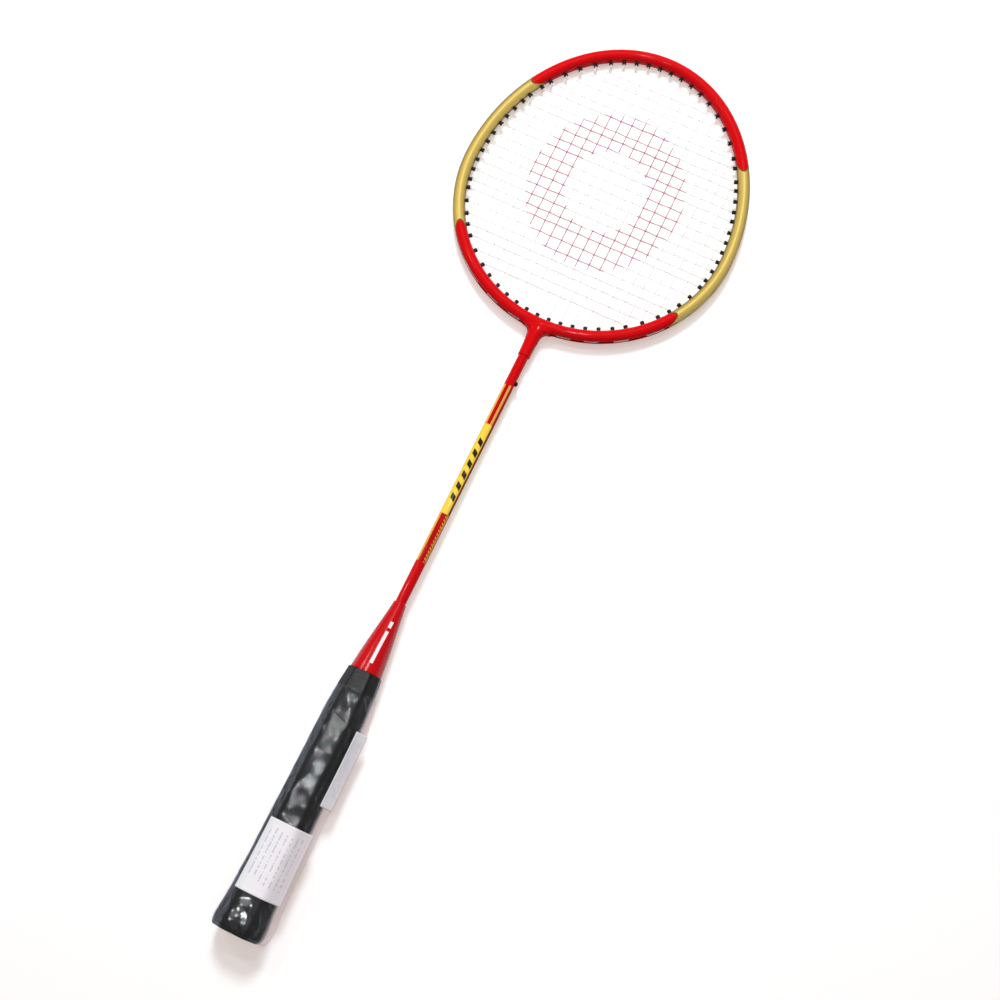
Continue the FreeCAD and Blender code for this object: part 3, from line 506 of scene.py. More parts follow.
def hoop_paint():
    """Red lacquer, with a gold band up each side that ends in slanted points; the gold is darkened by painted
    shade where it is seen at a slant.
    """
    finish = lacquer("hoop_paint")
    x, y, z = finish.place()
    lengthways = finish.math("SUBTRACT", y, BAND_MIDDLE)
    turn = finish.math("ARCTAN2", lengthways, finish.math("ABSOLUTE", x))
    side = finish.math("ABSOLUTE", finish.math("DIVIDE", z, sizes().tube_depth / 2))
    slope = finish.times(finish.math("SUBTRACT", side, 0.55), math.radians(6.5))
    upper = finish.math("ADD", turn, slope)
    lower = finish.math("SUBTRACT", turn, slope)
    edge = math.radians(0.3)
    line_width = math.radians(0.8)
    gold_start, gold_end = sizes().band_start, sizes().band_end
    band = finish.band(upper, -math.pi, gold_end, edge)
    band = finish.times(band, finish.band(lower, gold_start, math.pi, edge))
    line_upper = finish.band(upper, gold_end, gold_end + line_width, edge)
    line_lower = finish.band(lower, gold_start - line_width, gold_start, edge)
    line = finish.either(line_upper, line_lower)
    red = clouded(finish, 9 * MM, colours().hoop_red)
    gold = clouded(finish, 0.25 * MM, colours().gold, 0.88, 1.10)
    # Painted shade: the gold's colour darkens towards a dark brown where the band is seen at a slant.
    facing = finish.node("LayerWeight", {"Blend": 0.5}).outputs["Facing"]
    shaded = finish.mix(finish.step(facing, 0.10, 0.75), gold, colours().gold_painted_shade)
    lined = finish.mix(line, red, (0.16, 0.05, 0.01))
    finish.set("Base Color", finish.mix(band, lined, shaded))
    finish.set("Metallic", finish.times(band, 0.45))
    rough = finish.mix(band, (0.08,) * 3, (0.30,) * 3)
    worn = finish.between(finish.grain(12 * MM, 3.0), 0.85, 1.2)
    finish.set("Roughness", finish.times(rough, worn))
    return finish.material


def joint_paint():
    finish = lacquer("joint_paint")
    finish.set("Base Color", clouded(finish, 9 * MM, colours().hoop_red))
    return finish.material


def shaft_paint():
    """Dark red lacquer with gold lines, a yellow panel with plain bars, and slanted dashes."""
    finish = lacquer("shaft_paint")
    x, y, z = finish.place()
    around = finish.math("ARCTAN2", x, z)
    half_turn = finish.math("ADD", around, math.pi / 2)
    around = finish.math("SUBTRACT", finish.math("FLOORED_MODULO", half_turn, math.pi), math.pi / 2)
    soft = math.radians(2.5)

    def stretch(start, end):
        return finish.band(y, start * MM, end * MM, 0.25 * MM)

    def sector(start, end):
        return finish.band(around, math.radians(start), math.radians(end), soft)

    upper, panel, lower = stretch(362, 393), stretch(293.5, 362), stretch(258, 293.5)
    both = finish.either(upper, lower)
    left_line = finish.times(both, sector(-70, -30))
    upper_line = finish.times(upper, sector(12, 38))
    slant = finish.math("ADD", finish.math("DIVIDE", y, 2.6 * MM), finish.times(around, 0.9))
    dash = finish.step(finish.math("FRACT", slant), 0.42, 0.52)
    lower_dash = finish.times(lower, sector(26, 44), dash)
    lower_line = finish.times(lower, sector(50, 62))
    gold_lines = finish.either(left_line, upper_line, lower_dash, lower_line)
    bar_slant = finish.math("ADD", finish.math("DIVIDE", y, 8.4 * MM), finish.times(around, 0.30))
    number = finish.math("FLOOR", bar_slant)
    whole = finish.band(number, 35.5, 41.5, 0.1)
    in_bar = finish.band(finish.math("FRACT", bar_slant), 0.22, 0.72, 0.02)
    bars = finish.times(whole, sector(-22, 34), in_bar)
    rim = finish.times(panel, finish.either(sector(44, 72), sector(-86, -74)))
    plain = clouded(finish, 9 * MM, colours().hoop_red, 0.93, 1.0)
    red = finish.mix(finish.either(both, panel), plain, clouded(finish, 9 * MM, colours().shaft_red))
    striped = finish.mix(gold_lines, red, colours().line_gold)
    yellow = finish.mix(finish.times(panel, sector(-76, 48)), striped, colours().shaft_yellow)
    barred = finish.mix(bars, yellow, (0.030, 0.017, 0.010))
    finish.set("Base Color", finish.mix(finish.times(rim, 0.9), barred, (0.16, 0.022, 0.006)))
    finish.set("Metallic", finish.times(gold_lines, 0.25))
    return finish.material


def cone_plastic():
    """Glossy moulded red plastic with two plain white stripes where a print would go."""
    finish = Finish("cone_plastic", specular=0.5)
    x, y, z = finish.place()
    around = finish.math("ARCTAN2", x, z)
    radius = finish.between(finish.step(y, 177 * MM, 227.5 * MM), 10.0 * MM, 4.8 * MM)
    across = finish.times(around, radius)
    soft = 0.1 * MM
    beside_middle = finish.band(across, 0.6 * MM, 2.6 * MM, soft)
    long_stripe = finish.band(y, 183.5 * MM, 206.5 * MM, soft)
    short_stripe = finish.band(y, 209 * MM, 213.5 * MM, soft)
    stripes = finish.times(beside_middle, finish.either(long_stripe, short_stripe))
    red = finish.shades(finish.grain(7 * MM, 2.0), colours().cone_red, 0.93, 1.06)
    finish.set("Base Color", finish.mix(stripes, red, WHITE_PRINT))
    finish.set("Roughness", finish.between(finish.grain(3 * MM, 4.0), 0.14, 0.26))
    finish.bump(finish.grain(0.9 * MM, 2.0), 0.01 * MM, 0.6)
    return finish.material


def grip_leather():
    """Soft black grip tape with a fine leather grain and small pores."""
    finish = Finish("grip_leather", specular=0.4)
    coordinates = finish.node("TexCoord").outputs["Object"]
    feeds = {"Vector": coordinates, "Scale": 1 / (0.9 * MM)}
    cells = finish.node("TexVoronoi", feeds, feature="DISTANCE_TO_EDGE")
    crease = finish.step(cells.outputs["Distance"], 0.02, 0.22)
    fine = finish.grain(0.25 * MM, 3.0)
    skin = finish.math("ADD", crease, finish.times(fine, 0.35))
    finish.bump(skin, 0.05 * MM, 0.55)
    cloud = finish.grain(14 * MM, 3.0)
    finish.set("Base Color", finish.shades(cloud, colours().grip_black, 0.75, 1.35))
    finish.set("Roughness", finish.between(finish.times(cloud, crease), 0.62, 0.44))
    return finish.material


def black_vinyl(name):
    """Pressed black vinyl, finely pebbled."""
    finish = Finish(name, specular=0.5)
    cloud = finish.grain(6 * MM, 3.0)
    finish.set("Base Color", finish.shades(cloud, colours().cap_black, 0.8, 1.3))
    finish.set("Roughness", finish.between(cloud, 0.26, 0.42))
    finish.bump(finish.grain(0.45 * MM, 2.0), 0.02 * MM, 0.6)
    return finish.material


def clear_film():
    """Clear film that mirrors by angle and greys a little what it covers, with painted coloured light:
    lavender on its left side, pink on its right.
    """
    finish = Finish("film_clear")
    # Painted coloured light: what shows through turns lavender on the left and pink on the right, more so at
    # a slant; the film itself is clear.
    side = finish.step(finish.place()["X"], -14 * MM, 16 * MM)
    painted_light_tint = finish.mix(side, (0.86, 0.87, 0.97), (0.97, 0.90, 0.91))
    facing = finish.node("LayerWeight", {"Blend": 0.35}).outputs["Facing"]
    through = finish.mix(facing, (0.97, 0.97, 0.98), painted_light_tint)
    wrinkle = finish.grain(5 * MM, 4.0, stretch=(1, 2.2, 1))
    ripple = finish.node("Bump", {"Height": wrinkle, "Distance": 0.7 * MM, "Strength": 0.8}).outputs[0]
    clear = finish.node("BsdfTransparent", {"Color": through})
    smooth = finish.between(wrinkle, 0.03, 0.09)
    gloss = finish.node("BsdfGlossy", {"Color": (0.95, 0.97, 1.0), "Roughness": smooth, "Normal": ripple})
    slant = finish.node("LayerWeight", {"Blend": 0.5, "Normal": ripple}).outputs["Facing"]
    mirrored = finish.math("MULTIPLY_ADD", finish.math("POWER", slant, 4.0), 0.55, 0.04)
    blended = finish.node("MixShader", {0: mirrored, 1: clear.outputs[0], 2: gloss.outputs[0]})
    output = finish.tree.nodes["Material Output"]
    finish.tree.links.new(blended.outputs[0], output.inputs["Surface"])
    finish.tree.nodes.remove(finish.shader)
    return finish.material


def label_paper():
    """White paper with faint rows of plain dashes, set out by the label's own map; painted pink light turns
    the paper pinker across the sheet.
    """
    finish = Finish("label_paper", specular=0.35)
    u, v, _ = finish.uv()
    rows = finish.times(u, 9.0)
    number = finish.math("FLOOR", rows)
    in_row = finish.band(finish.math("FRACT", rows), 0.30, 0.56, 0.05)
    mixed_up = finish.math("SINE", finish.times(number, 12.9))
    shift = finish.math("FRACT", finish.times(mixed_up, 43.7))
    along = finish.math("ADD", finish.times(v, 17.0), shift)
    spot = finish.node("CombineXYZ", {0: along, 1: number}).outputs[0]
    word = finish.node("TexNoise", {"Vector": spot, "Scale": 1.9, "Detail": 0.0}).outputs[0]
    dash = finish.step(word, 0.44, 0.50)
    within_width = finish.band(u, 0.09, 0.93, 0.005)
    within_length = finish.band(v, 0.16, 0.90, 0.005)
    printed = finish.times(in_row, dash, within_width, within_length, 0.55)
    cloud = finish.grain(8 * MM, 3.0)
    # Painted pink light: the paper turns pinker from u = 0 to u = 1, towards the grip's right side.
    shade = finish.mix(u, colours().paper, (0.93, 0.84, 0.87))
    paper = finish.mix(finish.times(cloud, 0.10), shade, (0.5, 0.5, 0.5))
    mark = finish.mix(u, (0.36, 0.40, 0.72), (0.66, 0.34, 0.42))
    finish.set("Base Color", finish.mix(printed, paper, mark))
    finish.set("Roughness", finish.between(cloud, 0.38, 0.55))
    finish.bump(finish.grain(0.3 * MM, 4.0), 0.012 * MM, 0.7)
    return finish.material


def string_nylon():
    """White nylon with a faint twist, and one plain ring of crimson ink, heavier where strings cross."""
    finish = Finish("string_nylon", specular=0.5)
    x, y, _ = finish.place()
    along = finish.math("SUBTRACT", y, sizes().cross_middle)
    stretched = finish.node("CombineXYZ", {0: finish.times(x, 1.12), 1: along}).outputs[0]
    distance = finish.node("VectorMath", {0: stretched}, operation="LENGTH").outputs["Value"]
    smudge = finish.times(finish.math("SUBTRACT", finish.grain(3 * MM, 3.0), 0.5), 2.5 * MM)
    smudged = finish.math("ADD", distance, smudge)
    inked = finish.band(smudged, sizes().ring_inner, sizes().ring_outer, 0.5 * MM)
    half_pitch = sizes().main_pitch / 2
    to_main = finish.math("SUBTRACT", half_pitch, finish.math("PINGPONG", x, half_pitch))
    to_cross = finish.math("PINGPONG", along, sizes().cross_pitch)
    to_next = finish.math("SUBTRACT", sizes().cross_pitch, to_cross)
    to_cross = finish.math("MINIMUM", to_cross, to_next)
    gap = finish.math("MAXIMUM", to_main, to_cross)
    heavy = finish.between(finish.step(gap, 1.0 * MM, 1.8 * MM), 1.0, 0.84)
    worn = finish.between(finish.grain(1.1 * MM, 3.0), 0.82, 1.0)
    ink = finish.times(inked, heavy, worn)
    finish.set("Base Color", finish.mix(ink, colours().string_white, colours().ink))
    finish.set("Roughness", finish.between(finish.grain(2 * MM, 2.0), 0.22, 0.38))
    finish.bump(finish.grain(0.22 * MM, 2.0), 0.02 * MM, 0.5)
    return finish.material


def grommet_nylon():
    """Moulded black nylon."""
    finish = Finish("grommet_nylon", specular=0.5)
    cloud = finish.grain(1.5 * MM, 3.0)
    finish.set("Base Color", finish.shades(cloud, colours().nylon_black, 0.8, 1.5))
    finish.set("Roughness", finish.between(cloud, 0.28, 0.46))
    finish.bump(finish.grain(0.2 * MM, 2.0), 0.01 * MM, 0.7)
    return finish.material


def pin_black():
    """Blackened steel."""
    finish = Finish("pin_black", metal=0.6, specular=0.5)
    cloud = finish.grain(0.8 * MM, 3.0)
    finish.set("Base Color", finish.shades(cloud, colours().nylon_black, 1.0, 2.5))
    finish.set("Roughness", finish.between(cloud, 0.25, 0.42))
    finish.bump(cloud, 0.01 * MM, 0.6)
    return finish.material


def staple_steel():
    """Bright drawn wire with fine draw lines."""
    finish = Finish("staple_steel", metal=1.0)
    lines = finish.grain(0.12 * MM, 2.0, stretch=(12, 12, 1))
    finish.set("Base Color", finish.shades(lines, colours().steel, 0.8, 1.0))
    finish.set("Roughness", finish.between(lines, 0.22, 0.40))
    finish.bump(lines, 0.008 * MM, 0.6)
    return finish.material


def handle_wood():
    """Straight-grained softwood."""
    finish = Finish("handle_wood", specular=0.3)
    rings = finish.grain(1.6 * MM, 3.0, stretch=(1, 18, 1))
    fibre = finish.grain(0.35 * MM, 2.0, stretch=(1, 30, 1))
    base = colours().wood
    tone = finish.shades(finish.step(rings, 0.35, 0.65), base, 0.72, 1.1)
    dark = [0.6 * channel for channel in base]
    finish.set("Base Color", finish.mix(finish.times(fibre, 0.35), tone, dark))
    finish.set("Roughness", finish.between(fibre, 0.50, 0.72))
    finish.bump(fibre, 0.05 * MM, 0.6)
    return finish.material


# ---------------------------------------------------------------- hoop and T-joint

def tube_profile():
    """The hoop tube's outline as (outward, up), an oval with its groove and rounded lips."""
    half_width, half_depth = sizes().tube_width / 2, sizes().tube_depth / 2
    lip_angle = math.asin(sizes().groove_mouth / sizes().tube_depth)
    start = lip_angle + 1.2 * sizes().lip_radius / half_depth
    oval = []
    for step in range(57):
        turn = start + (2 * math.pi - 2 * start) * step / 56
        oval.append((half_width * math.cos(turn), half_depth * math.sin(turn), 0))
    lip = (half_width * math.cos(lip_angle), sizes().groove_mouth / 2)
    floor = half_width - sizes().groove_depth
    half_floor = sizes().groove_floor / 2
    groove = [(lip[0], -lip[1], 0), (floor, -half_floor, 0), (floor, half_floor, 0), (lip[0], lip[1], 0)]
    outline = rounded(oval + groove, sizes().lip_radius, closed=True)
    return [(point.x, point.y) for point in outline]


def build_hoop(material):
    """The hoop's tube, swept round the oval from one side of the T-joint to the other."""
    profile = tube_profile()
    first = -math.pi / 2 + sizes().joint_angle
    sweep = 2 * math.pi - 2 * sizes().joint_angle
    steps = 560
    points = []
    for k in range(steps + 1):
        turn = first + sweep * k / steps
        shrink = 0.985 if k in (0, steps) else 1.0
        for outward, up in profile:
            points.append(hoop_point(turn, outward * shrink, up * shrink))
    piece = make_piece("hoop_tube", points, capped_faces(steps + 1, len(profile)), material)
    return stand_for(piece, "hoop_paint", "head_frame")


def joint_field(points):
    """Below zero inside the T-joint: a grooved bar along the hoop with a stem that flares into it."""
    x, y, z = points[..., 0], points[..., 1], points[..., 2]
    across, _, along = hoop_radii()
    centre = sizes().head_widest
    turn = np.arctan2((y - centre) / along, x / across)
    normal = np.stack([np.cos(turn) / across, np.sin(turn) / along])
    normal /= np.sqrt((normal ** 2).sum(axis=0))
    outward = (x - across * np.cos(turn)) * normal[0]
    outward = outward + (y - centre - along * np.sin(turn)) * normal[1]
    half_width, half_depth = sizes().tube_width / 2, sizes().tube_depth / 2
    bar = (np.sqrt((outward / half_width) ** 2 + (z / half_depth) ** 2) - 1) * half_width
    arc = np.abs(np.arctan2(np.cos(turn), -np.sin(turn)))
    bar = smooth_max(bar, (arc - sizes().joint_angle) * across, 0.15 * MM)

    stem_start = box("t_joint")[0].y + sizes().peg_length
    web_start = centre - along - half_width - sizes().web_radius
    rise = np.clip((y - stem_start) / (web_start - stem_start), 0, 1.5)
    into_web = np.clip((y - web_start) / sizes().web_radius, 0, 0.999)
    flare = sizes().web_radius * (1 - np.sqrt(1 - into_web ** 2))
    width = sizes().stem_width / 2 + 0.7 * MM * rise ** 2 + flare
    depth = sizes().stem_width / 2 + 0.5 * MM * rise ** 2
    stem = (np.sqrt((x / width) ** 2 + (z / depth) ** 2) - 1) * np.minimum(width, depth)
    stem = smooth_max(stem, stem_start - y, 0.5 * MM)
    stem = smooth_max(stem, y - (centre - along), 0.5 * MM)
    body = smooth_min(bar, stem, 1.5 * MM)

    floor = half_width - sizes().groove_depth
    opening = (outward - floor) / (half_width - floor)
    half_slot = sizes().groove_floor / 2 + (sizes().groove_mouth - sizes().groove_floor) / 2 * opening
    slot = np.maximum(np.abs(z) - half_slot, floor - outward)
    slot = np.maximum(slot, outward - half_width - 0.5 * MM)
    return smooth_max(body, -slot, 0.4 * MM)


def build_joint(material):
    low, high = box("t_joint")
    end = hoop_point(sizes().joint_angle - math.pi / 2)
    reach = end.x + 2 * MM
    margin = 1 * MM
    corner_low = (-reach, low.y + sizes().peg_length - margin, low.z - margin)
    corner_high = (reach, end.y + sizes().tube_width, high.z + margin)
    points, faces = net_surface(joint_field, corner_low, corner_high, 0.36 * MM)
    piece = make_piece("t_joint_casting", points, faces.tolist(), material, sharp=60)
    return stand_for(piece, "joint_paint", "t_joint")


# ---------------------------------------------------------------- shaft, pin and cone

def build_cone(material):
    """The cone: turned, slightly convex near its base, rounded at both visible edges."""
    low, high = box("cone")
    base, root = 10.8 * MM, 9.75 * MM
    tip, bore = 4.5 * MM, 3.58 * MM
    shoulder = low.y + 14.1 * MM
    edge = 0.35 * MM
    taper_end = high.y - 2 * MM
    outline = [(low.y, bore), (low.y, root), (shoulder, root)]
    outline += [(shoulder, base - edge), (shoulder + edge, base)]
    for k in range(1, 25):
        share = k / 25
        bulge = 0.55 * MM * math.sin(math.pi * share) * (1 - share)
        outline.append((shoulder + (taper_end - shoulder) * share, base + (tip - base) * share + bulge))
    outline += [(high.y - 1.2 * MM, tip), (high.y - 0.3 * MM, tip - 0.12 * MM)]
    outline += [(high.y, tip - 0.5 * MM), (high.y, bore)]
    along_y = Matrix(((0, 1, 0, 0), (1, 0, 0, 0), (0, 0, 1, 0), (0, 0, 0, 1)))
    points, faces = turned(outline, 96, along_y)
    return stand_for(make_piece("cone_moulding", points, faces, material, sharp=30), "cone_plastic", "cone")


def build_pin(material):
    """The pin's shank and its domed head on the shaft's right side."""
    low, high = box("stem_pin")
    radius = (high.y - low.y) / 2
    seat, shank = 3.1 * MM, 1.0 * MM
    outline = [(low.x, 0.0), (low.x, shank), (seat, shank)]
    outline += [(seat, radius - 0.1 * MM), (seat + 0.25 * MM, radius)]
    dome = seat + 0.5 * MM
    for k in range(1, 9):
        turn = k / 8 * math.pi / 2
        outline.append((dome + (high.x - seat - 0.5 * MM) * math.sin(turn), radius * math.cos(turn)))
    place = Matrix.Translation((0, (low.y + high.y) / 2, 0))
    points, faces = turned(outline, 32, place)
    piece = make_piece("stem_pin_head", points, faces, material)
    return stand_for(piece, "pin_black", "stem_pin")


# ---------------------------------------------------------------- strings and grommets

def bend_inset():
    """Where a string bends inside the hoop, measured inward from the centre line."""
    return sizes().tube_width / 2 + sizes().grommet_tip + 0.4 * MM


def run_level():
    """Where a string runs in the groove, measured outward from the centre line."""
    floor = sizes().tube_width / 2 - sizes().groove_depth
    return floor + sizes().flange_thickness + sizes().string_diameter / 2 + 0.05 * MM


def turn_where(axis, target, low, high):
    """Ellipse angle between two others where the strings' bend point has a coordinate."""
    rising = hoop_point(high, -bend_inset())[axis] > hoop_point(low, -bend_inset())[axis]
    for _ in range(40):
        middle = (low + high) / 2
        below = hoop_point(middle, -bend_inset())[axis] < target
        if below == rising:
            low = middle
        else:
            high = middle
    return (low + high) / 2


def arc_gap(first, second):
    """Straight distance between two hoop angles on the centre line."""
    return (hoop_point(first) - hoop_point(second)).length


def right_side_holes():
    """Holes up the right side as (angle, [string ends]), with close ends sharing one hole."""
    ends = []
    for index in range(MAIN_PAIRS):
        station = (index + 0.5) * sizes().main_pitch
        ends.append((turn_where(0, station, 0.0, math.pi / 2), ("main", index, "top")))
        ends.append((turn_where(0, station, -math.pi / 2, 0.0), ("main", index, "bottom")))
    for index in range(CROSSES):
        station = sizes().cross_middle + (index - (CROSSES - 1) / 2) * sizes().cross_pitch
        turn = turn_where(1, station, -math.pi / 2, math.pi / 2)
        ends.append((turn, ("cross", index, "right")))
    ends.sort()
    holes = [[ends[0]]]
    for end in ends[1:]:
        if arc_gap(end[0], holes[-1][-1][0]) < sizes().share_distance:
            holes[-1].append(end)
        else:
            holes.append([end])
    return [(sum(end[0] for end in hole) / len(hole), [end[1] for end in hole]) for hole in holes]


@functools.cache
def all_holes():
    """Every hole as (angle, [string ends]), the left side mirrored from the right."""
    right = right_side_holes()
    left = []
    for turn, ends in right:
        mirrored = []
        for kind, index, place in ends:
            mirrored.append((kind, -1 - index, place) if kind == "main" else (kind, index, "left"))
        left.append((math.pi - turn, mirrored))
    return right + left


@functools.cache
def hole_turns():
    return {end: turn for turn, ends in all_holes() for end in ends}


def tie_turn(end, kind):
    """Angle of the hole next to a string's last one that takes one string of the other kind."""
    candidates = [turn for turn, ends in all_holes() if len(ends) == 1 and ends[0][0] == kind]
    return min(candidates, key=lambda turn: arc_gap(turn, hole_turns()[end]))


def string_runs():
    """The runs of each string in the order of stringing, each as (name, from hole end, to hole end)."""
    mains = []
    for index in range(MAIN_PAIRS):
        places = ("bottom", "top") if index % 2 == 0 else ("top", "bottom")
        mains.append((index, places))
    left = [(-1 - index, places[::-1]) for index, places in reversed(mains)]
    main_runs = [("main", index, ("main", index, places[0]), ("main", index, places[1]))
                 for index, places in left + mains]
    cross_runs = []
    for index in range(CROSSES):
        places = ("right", "left") if index % 2 == 0 else ("left", "right")
        cross_runs.append(("cross", index, ("cross", index, places[0]), ("cross", index, places[1])))
    return main_runs, cross_runs


def crossing(first, second):
    """Where two runs cross in plan, as shares of their lengths."""
    (a, b), (c, d) = first, second
    along, other = b - a, d - c
    cross = along.x * other.y - along.y * other.x
    gap = c - a
    return (gap.x * other.y - gap.y * other.x) / cross, (gap.x * along.y - gap.y * along.x) / cross


def woven_run(run, others, height):
    """Points along a run that rises over and dips under the other string's runs."""
    kind, index, start, end = run
    ends = [hoop_point(hole_turns()[hole], -bend_inset()) for hole in (start, end)]
    lift = sizes().string_diameter / 2 * 0.94 * (1 if kind == "main" else -1)
    knots = [(0.0, height), (1.0, height)]
    for other in others:
        other_ends = [hoop_point(hole_turns()[hole], -bend_inset()) for hole in other[2:]]
        here, there = crossing(ends, other_ends)
        if 0.005 < here < 0.995 and 0.005 < there < 0.995:
            knots.append((here, lift if (index + other[1]) % 2 == 0 else -lift))
    knots.sort()
    points = []
    for (first, low), (second, high) in zip(knots, knots[1:]):
        for step in range(5):
            share = step / 5
            eased = (1 - math.cos(math.pi * share)) / 2
            point = ends[0].lerp(ends[1], first + (second - first) * share)
            points.append(Vector((point.x, point.y, low + (high - low) * eased)))
    points.append(Vector((ends[1].x, ends[1].y, height)))
    return points


def groove_walk(first, last, height):
    """Points in the groove from one hole to another."""
    if last - first > math.pi:
        last -= 2 * math.pi
    if first - last > math.pi:
        last += 2 * math.pi
    steps = max(2, round(arc_gap(first, last) / (1.6 * MM)))
    return [hoop_point(first + (last - first) * k / steps, run_level(), height) for k in range(steps + 1)]


def string_path(runs, others, ties, height):
    """A whole string: in from its first tie, through run after run, and out to its last tie."""
    knot_inset = bend_inset() + 1.2 * MM
    points = [hoop_point(ties[0], -knot_inset, height)]
    last = ties[0]
    for run in runs:
        points += groove_walk(last, hole_turns()[run[2]], height)
        points += woven_run(run, others, height)
        last = hole_turns()[run[3]]
    points += groove_walk(last, ties[1], height)
    points.append(hoop_point(ties[1], -knot_inset, height))
    return rounded(points, sizes().string_bend, steps=3)


def string_ties():
    """The holes that each string's two tails leave through."""
    main = [tie_turn(("main", index, "top"), "cross") for index in (-MAIN_PAIRS, MAIN_PAIRS - 1)]
    cross_ends = (("cross", 0, "right"), ("cross", CROSSES - 1, "left"))
    return main, [tie_turn(end, "main") for end in cross_ends]


def build_strings(material):
    """Both strings, woven through each other, with their loops in the groove."""
    main_runs, cross_runs = string_runs()
    main_ties, cross_ties = string_ties()
    height = sizes().string_offset
    for name, runs, others, ties, side in (("main_string", main_runs, cross_runs, main_ties, 1),
                                           ("cross_string", cross_runs, main_runs, cross_ties, -1)):
        path = string_path(runs, others, ties, side * height)
        points, faces = tube(path, sizes().string_diameter / 2)
        stand_for(make_piece(name + "_woven", points, faces, material, sharp=60), "string_nylon", name)


def build_knots(material):
    """A small overhand knot with a trimmed tail at each tie-off."""
    main_ties, cross_ties = string_ties()
    ties = [(turn, 1) for turn in main_ties] + [(turn, -1) for turn in cross_ties]
    radius = 0.30 * MM
    parts = []
    for turn, side in ties:
        place = hoop_place(turn) @ Matrix.Translation((-bend_inset() - 0.5 * MM, 0, side * 0.75 * MM))
        loop = []
        for step in range(48):
            share = 2 * math.pi * step / 48
            loop.append(Vector((-0.34 * math.sin(3 * share),
                                0.24 * (math.sin(share) + 2 * math.sin(2 * share)),
                                0.24 * (math.cos(share) - 2 * math.cos(2 * share)))) * MM)
        loop = [place @ point for point in loop]
        parts.append(closed_tube(loop, radius))
        tail_points = ((0, 0.3, 0), (-0.9, 0.7, side * 0.2), (-1.9, 1.0, side * 0.3))
        tail = [place @ (Vector(point) * MM) for point in tail_points]
        parts.append(tube(rounded(tail, 0.6 * MM), radius))
    points, faces = joined(parts)
    piece = make_piece("string_tie_knots", points, faces, material, sharp=60)
    stand_for(piece, "string_nylon", "string_knots")


def closed_tube(points, radius):
    """A round tube along a closed path that is nearly free of twist."""
    rings = []
    count = len(points)
    middle = sum(points, Vector()) / count
    for k, point in enumerate(points):
        direction = (points[(k + 1) % count] - points[k - 1]).normalized()
        side = (point - middle - direction * (point - middle).dot(direction)).normalized()
        rings += ring_round(point, direction, side, radius)
    return rings, ring_faces(count, TUBE_SIDES, closed=True)


def grommet_profile(wide):
    """A grommet's closed outline as (outward, radius): barrel, softly pointed tip, flange and bore."""
    extra = sizes().wide_extra / 2 if wide else 0.0
    floor = sizes().tube_width / 2 - sizes().groove_depth
    top = floor + sizes().flange_thickness
    tip = -(sizes().tube_width / 2 + sizes().grommet_tip)
    barrel = sizes().grommet_diameter / 2 + extra
    flange = min(sizes().flange_diameter / 2 + extra, sizes().groove_floor / 2 - 0.02 * MM)
    bore = sizes().grommet_bore / 2 + extra
    bead = barrel + 0.16 * MM
    return [
        (tip + 0.2 * MM, bore), (tip, bore + 0.16 * MM), (tip, bead - 0.22 * MM),
        (tip + 0.08 * MM, bead - 0.06 * MM), (tip + 0.25 * MM, bead), (tip + 0.8 * MM, bead),
        (tip + 1.1 * MM, barrel), (floor, barrel),
        (floor, flange - 0.1 * MM), (floor + 0.08 * MM, flange), (top - 0.15 * MM, flange),
        (top, flange - 0.15 * MM), (top, bore + 0.2 * MM), (top - 0.2 * MM, bore),
    ]


def sorted_holes():
    """The holes by the group of grommets that lines them."""
    groups = {name: [] for name in ("top", "bottom", "left", "right", "throat", "shared", "tie_off")}
    ties = [turn for pair in string_ties() for turn in pair]
    for turn, ends in all_holes():
        from_bottom = abs(math.atan2(math.cos(turn), -math.sin(turn)))
        if any(abs(turn - tie) < 1e-6 for tie in ties):
            group = "tie_off"
        elif from_bottom < sizes().joint_angle:
            group = "throat"
        elif len(ends) > 1:
            group = "shared"
        else:
            group = ends[0][2]
        groups[group].append((turn, len(ends) > 1))
    return groups


def build_grommets(material):
    """Each group of grommets as one piece, checked against where the construction has it."""
    for group, holes in sorted_holes().items():
        node = "grommets_" + group
        parts = [turned(grommet_profile(wide), 20, hoop_place(turn)) for turn, wide in holes]
        points, faces = joined(parts)
        piece = make_piece("eyelets_" + group, points, faces, material, sharp=50)
        stand_for(piece, "grommet_nylon", node)
        low = box(node)[0]
        if max(abs(min(point[axis] for point in points) - low[axis]) for axis in range(3)) > 0.6 * MM:
            raise RuntimeError("%s isn't where the construction has %s" % (piece.name, node))


# ---------------------------------------------------------------- grip

def grip_size(distance):
    """Half width and half depth of the grip at a distance from the butt, its bends eased."""
    stations = np.array(GRIP_STATIONS) * MM
    spread = np.array((-2.4, -1.2, 0.0, 1.2, 2.4)) * MM
    around = np.clip(distance + spread, stations[0, 0], stations[-1, 0])
    return [np.interp(around, stations[:, 0], stations[:, column]).mean() / 2 for column in (1, 2)]


def octagon_radius(turns, half_width, half_depth):
    """Distance from the axis to a soft-cornered octagon in each direction."""
    bevel = (half_width + half_depth * (1 - 2 * CORNER_RATIO)) / math.sqrt(2)
    total = np.zeros_like(turns)
    for k, support in enumerate((half_width, bevel, half_depth, bevel) * 2):
        total += (np.maximum(np.cos(turns - k * math.pi / 4), 0) / support) ** CORNER_SHARPNESS
    return total ** (-1 / CORNER_SHARPNESS)


